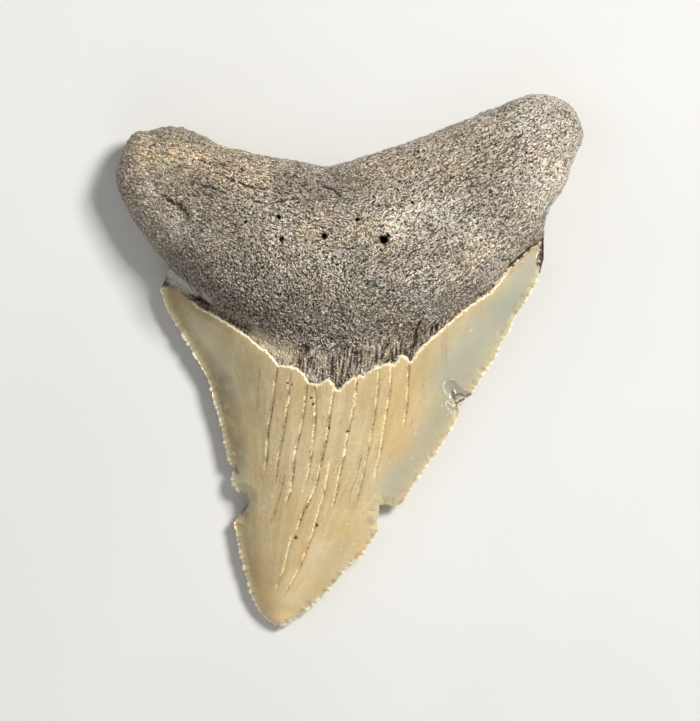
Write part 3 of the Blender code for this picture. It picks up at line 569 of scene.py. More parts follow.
def outline():
    """The rim of the tooth, and the same line without its serrations, by kind of stretch."""
    rim, plain = [], []
    start = OUTLINE[-1][1][-1]
    for seed, (kind, points) in enumerate(OUTLINE):
        points = points if points[0] == start else [start, *points]
        start = points[-1]
        broken = kind == "broken"
        line = jagged(points, seed) if broken else resampled(curve(points, 0.1), STEP_ROUND)
        plain.append((kind, line))
        if kind in SERRATIONS:
            line = serrated(curve(points, 0.1), kind, seed)
        elif kind == "round":
            line = uneven(line)
        rim.append(line[:-1])
    return np.vstack(rim), plain


# ---------------------------------------------------------------- heights over the plane

def smooth(t):
    t = np.clip(t, 0, 1)
    return t * t * (3 - 2 * t)


def bell(t):
    return np.exp(-(t**2))


def quarter(t):
    """The height of a quarter circle, from 0 at its foot to 1 on top."""
    return np.sqrt(1 - (1 - np.clip(t, 0, 1)) ** 2)


def bowl(away, reach):
    """A hollow with a steep rim, 1 deep in its middle and 0 from its reach outwards."""
    return np.clip(1 - (away / reach) ** 2, 0, 1) ** 0.6


def table(pairs, x):
    """A smooth curve through the pairs, read at x."""
    k, v = np.array(pairs, float).T
    slope = np.gradient(v, k)
    x = np.clip(x, k[0], k[-1])
    i = np.clip(np.searchsorted(k, x, side="right") - 1, 0, len(k) - 2)
    width = k[i + 1] - k[i]
    t = (x - k[i]) / width
    return (
        v[i] * (1 + 2 * t) * (1 - t) ** 2 + slope[i] * width * t * (1 - t) ** 2
        + v[i + 1] * t * t * (3 - 2 * t) - slope[i + 1] * width * t * t * (1 - t)
    )


def scalloped():
    """The enamel's lingual border with its finest scallops."""
    line = resampled(np.array(ENAMEL_LINE, float), STEP_BORDER)
    line[:, 1] += 0.07 * np.sin(line[:, 0] * 5.3) + 0.05 * np.sin(line[:, 0] * 11.9 + 1)
    return line


def labial_y(x):
    wave = 0.25 * np.sin(0.8 * x) + 0.12 * np.sin(2.3 * x + 1)
    return LABIAL_LINE_Y + LABIAL_LINE_SAG * (x / 28) ** 2 + wave


def labial_border():
    x = np.arange(-32, 32.1, 0.3)
    return np.column_stack([x, labial_y(x)])


BORDER = {"top": scalloped(), "bottom": labial_border()}


def over_border(points, side):
    """Which points are on the root's side of the enamel's border."""
    x, y = points.T
    return y > (np.interp(x, *BORDER["top"].T) if side == "top" else labial_y(x))


def edge_x(edge, y):
    line = curve(edge, 0.3)
    line = line[np.argsort(line[:, 1])]
    return np.interp(y, line[:, 1], line[:, 0])


def crown_place(x, y, least):
    """0 on the left cutting edge and 1 on the right one, as if they were a least width apart."""
    left, right = edge_x(LEFT_EDGE, y), edge_x(RIGHT_EDGE, y)
    return (x - left) / np.maximum(right - left, least)


def across(x, y):
    """0 on either cutting edge and 1 halfway between them."""
    u = np.clip(crown_place(x, y, 0.1), 0, 1)
    return 4 * u * (1 - u)


def flow(x, y):
    """A coordinate across the crown whose lines run together towards the tip, as its grain does."""
    return crown_place(x, y, 0.5) * 40


def crown_top(x, y):
    return table(EDGE_HEIGHT, y) + table(CROWN_SWELL, y) * across(x, y) ** 1.05


def rim_height(x, y):
    root = smooth((y - table(NECK_LINE, x)) / 5)
    return table(EDGE_HEIGHT, y) * (1 - root) + ROOT_RIM_HEIGHT * root


def undulation(x, y):
    """Broad low swells of the root's lingual face."""
    swell = 0.13 * np.sin(0.62 * x + 0.35 * y) * np.sin(0.71 * y - 0.22 * x + 1.0)
    return swell + 0.10 * np.sin(1.31 * x - 0.9 * y + 2.0) * np.sin(1.07 * y + 0.4 * x)


def root_middle(x, half_width=15):
    """1 in the middle of the root, and less towards its lobes."""
    return bell((x - ROOT_MIDDLE_X) / half_width)


def root_reach(x):
    """How far in from the outline the root's lingual face is still rounding over."""
    return LOBE_REACH + MIDDLE_REACH * root_middle(x)


def root_top(x, y, rim_gap):
    full = ROOT_TOP + ROOT_BULGE * root_middle(x) * bell((y - ROOT_BULGE_Y) / 11)
    full -= LOBE_FALL * smooth((np.abs(x) - 18) / 16)
    full += undulation(x, y)
    return ROOT_RIM_HEIGHT + (full - ROOT_RIM_HEIGHT) * quarter(rim_gap / root_reach(x))


def top_height(points, rim_gap):
    """Height of the lingual face, and the share of the root's own height in it."""
    x, y = points.T
    middle = root_middle(x, 13)
    neck_y = table(NECK_LINE, x)
    shelf = 0.2 + 3.0 * middle + 1.8 * bell((x + 27) / 3)
    t = np.clip((y - neck_y - shelf) / (5.2 + 3.6 * middle), 0, 1)
    rise = (1 - (1 - t) ** 2.2) * (1 - middle) + smooth(t) * middle
    neck = crown_top(x, np.minimum(y, neck_y)) - ENAMEL_STEP
    root = neck * (1 - rise) + root_top(x, y, rim_gap) * rise
    above = over_border(points, "top")
    height = np.where(above, root, crown_top(x, y))
    for cx, cy, radius, depth in PITS + BITES:
        height -= depth * bowl(np.hypot(x - cx, y - cy), radius)
    for depth, half_width, line in SCARS:
        chosen, gap, _, _ = nearby(points, np.array(line), half_width)
        height[chosen] -= depth * bowl(gap, half_width)
    return height, rise * above


def bottom_height(points, rim_gap):
    x, y = points.T
    edge = table(EDGE_HEIGHT, y)
    crown = edge - (edge + FLAT_SINK) * across(x, y) ** 0.55
    hollow = LABIAL_HOLLOW * bell(x / 10) * bell((y - 19) / 8)
    floor = hollow - FLAT_SINK + LABIAL_STEP
    root = ROOT_RIM_HEIGHT - (ROOT_RIM_HEIGHT - floor) * quarter(rim_gap / LABIAL_REACH)
    shoulder = smooth((np.abs(x) - 22) / 6)
    share = smooth((y - labial_y(x)) / (0.4 + 3.0 * shoulder))
    return np.maximum(crown * (1 - share) + root * share, 0)


# ---------------------------------------------------------------- fine relief

def noise_at(x, y, seed):
    return np.array([noise.noise((a, b, seed)) for a, b in zip(x.tolist(), y.tolist())])


def streaks(x, y, lean, length, width, seed):
    """Noise drawn out along one direction, in degrees: its cells are length by width."""
    c, s = math.cos(math.radians(lean)), math.sin(math.radians(lean))
    return noise_at((x * c + y * s) / length, (y * c - x * s) / width, seed)


def billows(value):
    """Rounded bumps, 0 to 1, with narrow creases between them."""
    return np.minimum(np.abs(value) * 2.6, 1) ** 0.8


def pebbles(x, y):
    return 0.5 + 0.8 * noise_at(x / 0.36, y / 0.36, 1.3)


def strokes(points, lines):
    """The strongest of several painted lines at each point."""
    strength = np.zeros(len(points))
    for amount, radius, line in lines:
        chosen, gap, _, _ = nearby(points, curve(line, 0.8), 2.4 * radius)
        strength[chosen] = np.maximum(strength[chosen], amount * bell(gap / radius))
    return strength


def dot(cx, cy, drawn):
    """A spot as a stroke's line: two points close together."""
    return [(cx, cy), (cx, cy - drawn)]


def broken_lines(plain):
    """Each broken stretch of the outline with the chip along it."""
    return zip([line for kind, line in plain if kind == "broken"], CHIPS)


def chipped(points, plain):
    """Depth of the chips: deepest at each break, with ridges that fan out from it."""
    depth = np.zeros(len(points))
    for seed, (line, (reach, deep)) in enumerate(broken_lines(plain)):
        chosen, gap, _, along = nearby(points, line, 1.3 * reach)
        ridge = noise_at(along / 0.9, gap / 2.5, seed * 5.3)
        local = reach * (0.8 + 0.9 * ridge)
        cut = deep * np.clip(1 - gap / local, 0, 1) * (1 + 0.35 * np.abs(ridge))
        depth[chosen] = np.maximum(depth[chosen], cut)
    return depth


def edge_fields(points, plain):
    """How far each serration carries in from the cutting edge, and the dark ticks between them."""
    knob, tick = np.zeros((2, len(points)))
    for seed, (kind, line) in enumerate(plain):
        if kind in SERRATIONS:
            chosen, gap, _, along = nearby(points, line, 1.5)
            wave = serrations(along / SERRATIONS[kind][0], kind, seed)
            knob[chosen] = np.maximum(knob[chosen], wave * bell(gap / 0.42))
            nick = bell(wave / 0.22) * bell((gap - 0.45) / 0.28)
            tick[chosen] = np.maximum(tick[chosen], nick)
    return knob, tick


def crack_fields(points, cracks):
    """Signed distance to the nearest crack, and how dark and how cream-filled it is there."""
    gap = np.full(len(points), 9.0)
    dark, cream = np.zeros((2, len(points)))
    for seed, (darkness, creaminess, line) in enumerate(cracks):
        line = curve(line, 0.4)
        chosen, *found = nearby(points, line, 1.2)
        closer = found[0] < np.abs(gap[chosen])
        chosen, (near, side, along) = chosen[closer], (values[closer] for values in found)
        fade = smooth(0.4 + along / 1.5) * smooth((steps(line).sum() - along) / 2.5)
        patch = noise_at(along / 1.9, along * 0, seed * 3.7)
        gap[chosen] = near * side
        dark[chosen] = darkness * fade * np.clip(0.85 - 0.9 * patch, 0.25, 1)
        cream[chosen] = creaminess * fade * np.clip(0.65 + 1.7 * patch, 0, 1)
    return gap, dark, cream


def root_grain(points, root_line):
    """The root's wrinkled grain, 0 in its creases and 1 on its ridges."""
    x, y = points.T
    right = smooth((x + 3) / 8)
    basal = 1 - smooth((nearest(points, root_line)[0] - 6.5) / 5)
    steep = bell((x + 5.5) / 5) * bell((y - 12.5) / 5) * (1 - basal)
    inner_right = smooth((x - 8) / 8) * (1 - basal - steep)
    fields = (  # share of the place, direction, cell length and seed
        (basal * (1 - right), -15, 0.95, 3.1), (basal * right, 23, 0.95, 4.6),
        (steep, -62, 0.95, 5.7), (inner_right, 36, 0.90, 6.9),
        (1 - basal - steep - inner_right, -38, 1.05, 8.2),
    )
    wrinkles, cuts = np.zeros((2, len(x)))
    for share, lean, length, seed in fields:
        wrinkles += share * billows(streaks(x, y, lean, length, WRINKLE_WIDTH, seed))
        line = np.abs(streaks(x, y, lean, 5.0 * length, 2.8 * WRINKLE_WIDTH, seed + 20))
        cuts += share * np.clip(1 - line / 0.10, 0, 1)
    cuts *= np.clip(2.5 * noise_at(x / 3.4, y / 3.4, 40.0), 0, 1)
    bold = 0.75 - 0.25 * basal
    return np.clip(bold * wrinkles + (1 - bold) * (pebbles(x, y) + 0.1) - 0.35 * cuts, 0, 1)


def neck_grain(points):
    """Granular bone with fine grooves that run from the root down to the enamel, 0 to 1."""
    x, y = points.T
    grooves = billows(streaks(x, y, 82, 1.9, 0.40, 12.4))
    share = 0.35 + 0.5 * noise_at(x / 1.6, y / 2.4, 31.0)
    return np.clip(share * grooves + (1 - share) * pebbles(x, y), 0, 1)


def furrow_fields(points):
    """Depth of the furrows in root and neck, and the darkness of the painted shade in them."""
    depth, dark = np.zeros((2, len(points)))
    for deep, half_width, darkness, line in FURROWS:
        line = curve(line, 0.4)
        chosen, gap, side, along = nearby(points, line, 3 * half_width)
        wander = 0.35 * half_width * noise_at(along / 0.8, along * 0, deep * 9)
        fade = np.sin(np.clip(along / steps(line).sum(), 0.04, 0.96) * math.pi) ** 0.6
        fade *= np.clip(0.9 + 1.2 * noise_at(along / 0.9, along * 0, deep * 31), 0.35, 1)
        cut = bell((gap * side - wander) / half_width)
        depth[chosen] = np.maximum(depth[chosen], deep * cut * fade)
        dark[chosen] = np.maximum(dark[chosen], darkness * cut**2 * fade)
    return depth, dark


def clearance(points, lines, most):
    """Distance from the nearest of the lines, each less its own reach, up to a most."""
    away = np.full(len(points), float(most))
    for reach, line in lines:
        chosen, gap, _, _ = nearby(points, np.array(line), reach + most)
        away[chosen] = np.minimum(away[chosen], gap - reach)
    return away


def border_distance(points, side):
    """Signed distance to the enamel's border, above it on the root."""
    away = clearance(points, [(0, BORDER[side])], 8)
    return np.where(over_border(points, side), away, -away)


# ---------------------------------------------------------------- the fine mesh

def root_rings(line, side):
    """Rows of points over the root's rounded rim, even along its profile."""
    if side == "top":
        reach, turn = root_reach(line[:, 0]), PROFILE_STEP / 8.0
    else:
        reach, turn = np.full(len(line), LABIAL_REACH), PROFILE_STEP / 4.8
    rows = [reach * (1 - math.cos(k * turn)) for k in range(1, int(math.radians(48) / turn))]
    return [(row, shifted(line, row)) for row in rows]


def edge_rings(line, side):
    rows = [(depth, resampled(line, step)) for depth, step in EDGE_RINGS[side]]
    return [(np.full(len(row), depth), shifted(row, depth)) for depth, row in rows]


def rings(plain, side):
    """Rows of points just inside the outline."""
    made = []
    whole = np.vstack([line for _, line in plain])
    for kind, line in plain:
        rows = root_rings(line, side) if kind == "round" else edge_rings(line, side)
        for depth, row in rows:
            made.append(row[nearest(row, whole)[0] > 0.92 * depth])
    return made


def grid(step, seed):
    """A triangular lattice, shaken a little so that no row shows."""
    rng = np.random.default_rng(seed)
    x = np.arange(-GRID_HALF_WIDTH, GRID_HALF_WIDTH, step)
    y = np.arange(-GRID_HALF_LENGTH, GRID_HALF_LENGTH, step * math.sqrt(0.75))
    points = np.stack(np.meshgrid(x, y), axis=-1)
    points[1::2, :, 0] += step / 2
    points = points.reshape(-1, 2)
    return points + rng.uniform(-GRID_SHAKE, GRID_SHAKE, points.shape) * step


def lattice(side):
    """The points that fill a face, and their least distance from the others."""
    if side == "bottom":
        return grid(GRID_LABIAL, 7), GRID_GAP * GRID_LABIAL
    root, crown = grid(GRID_ROOT, 7), grid(GRID_CROWN, 8)
    root, crown = root[over_border(root, side)], crown[~over_border(crown, side)]
    return np.vstack([root, crown]), GRID_GAP * GRID_ROOT


def rows_beside(line, offsets, step):
    row = resampled(line, step)
    return [shifted(row, offset) for offset in offsets]


def circles(cx, cy, radius, shares, step):
    rows = [np.array([(cx, cy)])]
    for reach in radius * np.array(shares):
        count = max(6, round(math.tau * reach / step))
        angle = np.arange(count) * math.tau / count
        rows.append(np.column_stack([cx + reach * np.cos(angle), cy + reach * np.sin(angle)]))
    return rows


def details(side, plain):
    """Rows of points that hold cracks, pits, scars and chips; the finest first."""
    made = []
    if side == "bottom":
        for _, _, line in LABIAL_CRACKS:
            made += rows_beside(curve(line, 0.3), (-0.25, 0, 0.25), 0.3)
        return made
    for cx, cy, radius, _ in PITS:
        made += circles(cx, cy, radius, (0.3, 0.6, 0.85, 1.0, 1.2), 0.13)
    for _, half_width, _, line in FURROWS:
        made += rows_beside(curve(line, 0.2), (0, -0.7 * half_width, 0.7 * half_width), 0.2)
    for _, _, line in CRACKS:
        made += rows_beside(curve(line, 0.3), CRACK_ROWS, 0.22)
    for line, (reach, _) in broken_lines(plain):
        made += rows_beside(line, np.arange(0.15, 1.4 * reach, 0.2), 0.2)
    for _, half_width, line in SCARS:
        made += rows_beside(np.array(line), half_width * np.arange(-1.1, 1.2, 0.2), 0.16)
        made += circles(*line[0], half_width, (0.5, 0.7, 0.85, 0.95, 1.03), 0.16)
    for cx, cy, radius, _ in BITES:
        made += circles(cx, cy, radius, (0.4, 0.7, 0.9, 1.03), 0.2)
    return made + rows_beside(BORDER[side], BORDER_ROWS, 0.2)


def gathered(rows, gap, kept):
    """All the rows' points, leaving out those within a gap of a point already there."""
    tree = KDTree(sum(map(len, rows)) + len(kept))
    for k, point in enumerate(kept):
        tree.insert((*point, 0), k)
    out = []
    for row in rows:
        tree.balance()
        fresh = [p for p in row.tolist() if tree.find((*p, 0))[2] > gap]
        for k, point in enumerate(fresh, len(kept) + len(out)):
            tree.insert((*point, 0), k)
        out += fresh
    return np.array(out)


def inside_by(points, closed, margin):
    """Which points are inside a closed line by more than a margin."""
    x, y = points.T
    inside = np.zeros(len(points), bool)
    for (ax, ay), (bx, by) in zip(closed, closed[1:]):
        if ay != by:
            spans = (ay > y) != (by > y)
            inside ^= spans & (x < ax + (bx - ax) * (y - ay) / (by - ay))
    tree = KDTree(len(closed))
    for k, point in enumerate(closed):
        tree.insert((*point, 0), k)
    tree.balance()
    far = [tree.find((*p, 0))[2] > margin for p in points.tolist()]
    return inside & np.array(far)


def plan(rim, plain, side):
    """The points of one face and its triangles; the rim's own points come first, in order."""
    closed = np.vstack([rim, rim[:1]])
    ledges = rows_beside(BORDER[side], (LEDGE_HALF_WIDTH, -LEDGE_HALF_WIDTH), STEP_BORDER)
    lines = [row[inside_by(row, closed, 0.2)] for row in ledges]
    held = np.vstack([rim, *lines])
    close = gathered(details(side, plain), CLOSE_GAP, held)
    ring = gathered(rings(plain, side), RING_GAP, np.vstack([held, close]))
    near = np.vstack([close, ring])
    near = near[inside_by(near, closed, 0.05)]
    filling, gap = lattice(side)
    filling = gathered([filling[inside_by(filling, closed, 0.5)]], gap, np.vstack([held, near]))
    return triangulated(rim, np.vstack([near, filling]), lines)


def triangulated(rim, inside, lines):
    """A net over the rim, the points inside it and the lines kept as edges."""
    points = [*rim, *inside]
    edges = [(k, (k + 1) % len(rim)) for k in range(len(rim))]
    for line in lines:
        first = len(points)
        points += list(line)
        edges += [(first + k, first + k + 1) for k in range(len(line) - 1)]
    verts, _, faces, origin, _, _ = delaunay_2d_cdt(
        [Vector(p) for p in points], edges, [list(range(len(rim)))], 1, 1e-7
    )
    where = {source: k for k, sources in enumerate(origin) for source in sources}
    order = [where[k] for k in range(len(rim))]
    ordered = set(order)
    order += [k for k in range(len(verts)) if k not in ordered]
    place = np.empty(len(verts), int)
    place[order] = np.arange(len(verts))
    flat = np.array([v[:] for v in verts])
    return flat[order], place[np.array([face[:] for face in faces])]


def painted(points, plain, side):
    """What the looks read at each point of a face, but for what only its heights tell."""
    values = {"flow": flow(*points.T), "border": border_distance(points, side)}
    cutting = [(0, line) for kind, line in plain if kind != "round"]
    values["edge"] = clearance(points, cutting, 3)
    values["knob"], values["tick"] = edge_fields(points, plain)
    cracks = CRACKS if side == "top" else LABIAL_CRACKS
    names = ("crack_gap", "crack_dark", "crack_cream")
    values.update(zip(names, crack_fields(points, cracks)))
    dents = {
        "scar": [(half_width, line) for _, half_width, line in SCARS],
        "bite": [(radius, dot(cx, cy, 0.01)) for cx, cy, radius, _ in BITES],
    }
    for name, lines in dents.items():
        values[name] = clearance(points, lines if side == "top" else (), 1)
    marks = {
        **TONES, "spot": [(1, radius, dot(cx, cy, 0.1)) for cx, cy, radius in SPOTS],
        # painted shade filling the pits
        "hole": [(1, radius, dot(cx, cy, 0.05)) for cx, cy, radius, _ in PITS],
    }
    for name, lines in marks.items():
        held = side == "top" or name in LABIAL_TONES
        values[name] = strokes(points, lines if held else ())
    return values


def relief_of(points, side, values):
    """Height of the fine relief: grain on the root, the rest on the crown."""
    root = smooth(values["border"] / 0.5)
    crown = 1 - root
    relief = GRAIN_HEIGHT * (values["grain"] - 0.75) * root * (1 - 0.4 * values["neck"])
    relief *= 1 - 0.8 * values["bare"]
    relief += KNOB_HEIGHT * (values["knob"] - 0.3 * bell(values["edge"] / 0.5)) * crown
    gap = values["crack_gap"]
    relief -= CRACK_DEPTH * values["crack_dark"] * bell(gap / 0.13) * crown
    relief += SEAM_HEIGHT * values["crack_cream"] * bell((gap + 0.24) / 0.12) * crown
    for deep, half_width, line in HOLLOWS if side == "top" else ():
        relief -= strokes(points, [(1, half_width, line)]) * deep * crown
    return relief


def face_of(rim, plain, side):
    """One face's points, triangles, heights, relief and painted values."""
    flat, faces = plan(rim, plain, side)
    root_line = plain[0][1]
    rim_gap = nearest(flat, root_line)[0]
    values = painted(flat, plain, side)
    border = values["border"]
    furrow, dark, neck, grain = np.zeros((4, len(flat)))
    if side == "top":
        z, rise = top_height(flat, rim_gap)
        z -= chipped(flat, plain)
        neck = smooth(border / 0.4) * (1 - smooth(rise * 2.2))
        furrow, dark = furrow_fields(flat)
    else:
        z = bottom_height(flat, rim_gap)
    on_root, on_neck = border > -0.5, neck > 0.01
    grain[on_root] = root_grain(flat[on_root], root_line)
    grain[on_neck] += (neck_grain(flat[on_neck]) - grain[on_neck]) * neck[on_neck]
    # furrow holds the darkness of the furrows' painted shade
    values |= {"furrow": dark, "neck": neck, "grain": grain}
    return flat, faces, z, relief_of(flat, side, values) - furrow, values


# What each look reads from its mesh
ENAMEL_VALUES = (
    "border", "edge", "flow", "knob", "tick", "crack_gap", "crack_dark", "crack_cream", "spot",
    "scar", "bite", "honey",
    "blue", "gold", "olive", "cream", "umber", "orange", "slate", "bark", "smoke", "chalk",
)
ROOT_VALUES = (
    "grain", "neck", "furrow", "hole", "bare", "bone", "crumb", "tan", "pale", "shine", "dusk",
)


def tooth_pieces():
    """The tooth's closed surface, in three pieces that meet without a gap: its enamel, and the
    lingual and labial faces of its root.
    """
    rim, plain = outline()
    count = len(rim)
    flat, faces, z, relief, values = face_of(rim, plain, "top")
    z[:count] = rim_height(*rim.T)
    low_flat, low_faces, low_z, low_relief, low_values = face_of(rim, plain, "bottom")
    least = 0.9 * LEDGE_HALF_WIDTH  # a face that has a corner lower than this is enamel
    enamel = values["border"][faces].min(axis=1) < least
    low_enamel = low_values["border"][low_faces].min(axis=1) < least
    shift = len(flat) - count
    low_faces = np.where(low_faces < count, low_faces, low_faces + shift)[:, ::-1]
    verts = np.vstack([
        np.column_stack([flat, z]), np.column_stack([low_flat, low_z])[count:],
    ])
    verts[:, :2] -= (rim.min(axis=0) + rim.max(axis=0)) / 2
    relief = np.concatenate([relief, low_relief[count:] - GRAIN_HEIGHT * 0.25])
    every = np.vstack([faces, low_faces])
    verts += vertex_normals(verts, every) * relief[:, None]
    verts = held_in(verts * MM, *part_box("tooth"))
    joined = {
        name: np.concatenate([values[name], low_values[name][count:]]) for name in values
    }
    rounded = len(plain[0][1]) - 1  # points of the root's rim, which is smooth
    smooth_over = vertex_normals(verts, every)[:rounded]
    top, low = (corner_normals(verts, part, smooth_over) for part in (faces, low_faces))
    whole_enamel = np.vstack([faces[enamel], low_faces[low_enamel]])
    regions = {
        "enamel": (whole_enamel, np.vstack([top[enamel], low[low_enamel]]), ENAMEL_VALUES),
        "root_lingual": (faces[~enamel], top[~enamel], ROOT_VALUES),
        "root_labial": (low_faces[~low_enamel], low[~low_enamel], ROOT_VALUES),
    }
    return [piece(name, verts, joined, *part) for name, part in regions.items()]


def vertex_normals(verts, faces):
    """Unit normals, each the mean of the faces around it by their area."""
    a, b, c = (verts[faces[:, k]] for k in range(3))
    cross = np.cross(b - a, c - a)
    total = np.zeros_like(verts)
    for k in range(3):
        np.add.at(total, faces[:, k], cross)
    return total / np.maximum(np.linalg.norm(total, axis=1), 1e-12)[:, None]


def corner_normals(verts, faces, smooth_over):
    """The normals at the corners of one side's faces: its own, so that the cutting edge stays
    sharp, but for the first points, which take those given.
    """
    normals = vertex_normals(verts, faces)
    normals[: len(smooth_over)] = smooth_over
    return normals[faces]


def piece(name, verts, values, faces, normals, kept):
    """One piece of the surface with the values its look reads, shaded with the normals given."""
    used, faces = np.unique(faces, return_inverse=True)
    mesh = bpy.data.meshes.new(name)
    mesh.from_pydata(verts[used].tolist(), [], faces.reshape(-1, 3).tolist())
    for key in kept:
        attribute = mesh.attributes.new(key, "FLOAT", "POINT")
        attribute.data.foreach_set("value", values[key][used])
    mesh.shade_smooth()
    mesh.normals_split_custom_set(normals.reshape(-1, 3).tolist())
    return shown(name, mesh)


def held_in(verts, low, high):
    """The points stretched by a hair so that they fill the CAD solid's box exactly."""
    low, high = np.array(low), np.array(high)
    first, last = verts.min(axis=0), verts.max(axis=0)
    return low + (verts - first) * (high - low) / (last - first)


# ---------------------------------------------------------------- materials

class Value:
    """A value in a material's graph: +, - and * on it add nodes there."""

    def __init__(self, graph, socket):
        self.graph = graph
        self.socket = socket

    def __add__(self, other):
        return self.graph.math("ADD", self, other)

    def __sub__(self, other):
        return self.graph.math("SUBTRACT", self, other)

    def __mul__(self, other):
        return self.graph.math("MULTIPLY", self, other)


class Graph:
    """A material's nodes, each made and wired in one call. Lengths inside it are millimetres."""

    def __init__(self, name):
        self.material = bpy.data.materials.new(name)
        self.material.use_nodes = True
        self.tree = self.material.node_tree
        self.shader = self.tree.nodes["Principled BSDF"]
        self.colour = None
        place = self.put("TexCoord", output="Object")
        self.place = self.put("Mapping", {"Vector": place, "Scale": (1 / MM,) * 3})

    def put(self, kind, inputs=None, output=0, **settings):
        node = self.tree.nodes.new("ShaderNode" + kind)
        for name, value in settings.items():
            setattr(node, name, value)
        for socket, value in (inputs or {}).items():
            self.plug(node.inputs[socket], value)
        return Value(self, node.outputs[output])

    def plug(self, socket, value):
        if isinstance(value, Value):
            self.tree.links.new(value.socket, socket)
        elif hasattr(value, "__len__") and socket.type == "RGBA":
            socket.default_value = (*value, 1.0)
        else:
            socket.default_value = value

    def value(self, name):
        return self.put("Attribute", output="Fac", attribute_name=name)

    def axis(self, name):
        return self.put("SeparateXYZ", {0: self.place}, name)

    def math(self, kind, *inputs):
        return self.put("Math", dict(enumerate(inputs)), operation=kind)

    def noise(self, cell, vector=None, detail=2.0, rough=0.5, warp=0.0, output="Fac"):
        """Noise, about 0.2 to 0.8, whose features are about a cell's size apart."""
        inputs = {
            "Vector": vector or self.place, "Scale": 1 / cell, "Detail": detail,
            "Roughness": rough, "Distortion": warp,
        }
        return self.put("TexNoise", inputs, output)

    def shaken(self, cell, most):
        """The place moved about by noise, so that what is drawn there turns irregular."""
        inputs = {0: self.noise(cell, detail=1.0, output="Color"), 1: (most,) * 3, 2: self.place}
        return self.put("VectorMath", inputs, operation="MULTIPLY_ADD")

    def leaning(self, lean, length, width, place=None):
        """The place in cells that long and wide, whose length leans by degrees from X."""
        inputs = {
            "Vector": place or self.place, "Scale": (length, width, width),
            "Rotation": (0, 0, math.radians(lean)),
        }
        return self.put("Mapping", inputs, vector_type="TEXTURE")

    def ramp(self, value, low, high, to=(0.0, 1.0)):
        """A smooth step from one value to another as the input goes from low to high."""
        inputs = {0: value, 1: low, 2: high, 3: to[0], 4: to[1]}
        return self.put("MapRange", inputs, interpolation_type="SMOOTHSTEP")

    def ridge(self, value, middle, reach):
        """1 where the input is at the middle, and 0 from a reach away on either side."""
        return self.ramp(self.math("ABSOLUTE", value - middle), 0.0, reach, (1.0, 0.0))

    def blend(self, share, a, b):
        return self.put("Mix", {0: share, 2: a, 3: b})

    def mix(self, share, a, b, way="MIX"):
        return self.put("Mix", {0: share, 6: a, 7: b}, 2, data_type="RGBA", blend_type=way)

    def lay(self, share, tone):
        """Lays a tone over the colour so far."""
        self.colour = self.mix(share, self.colour, tone)

    def tint(self, share, tone):
        """Multiplies the colour so far by a tone."""
        self.colour = self.mix(share, self.colour, tone, "MULTIPLY")

    def vary(self, share, field, low, high, tones):
        """Multiplies the colour by one tone to another as a field goes from low to high."""
        self.tint(share, self.mix(self.ramp(field, low, high), *tones))


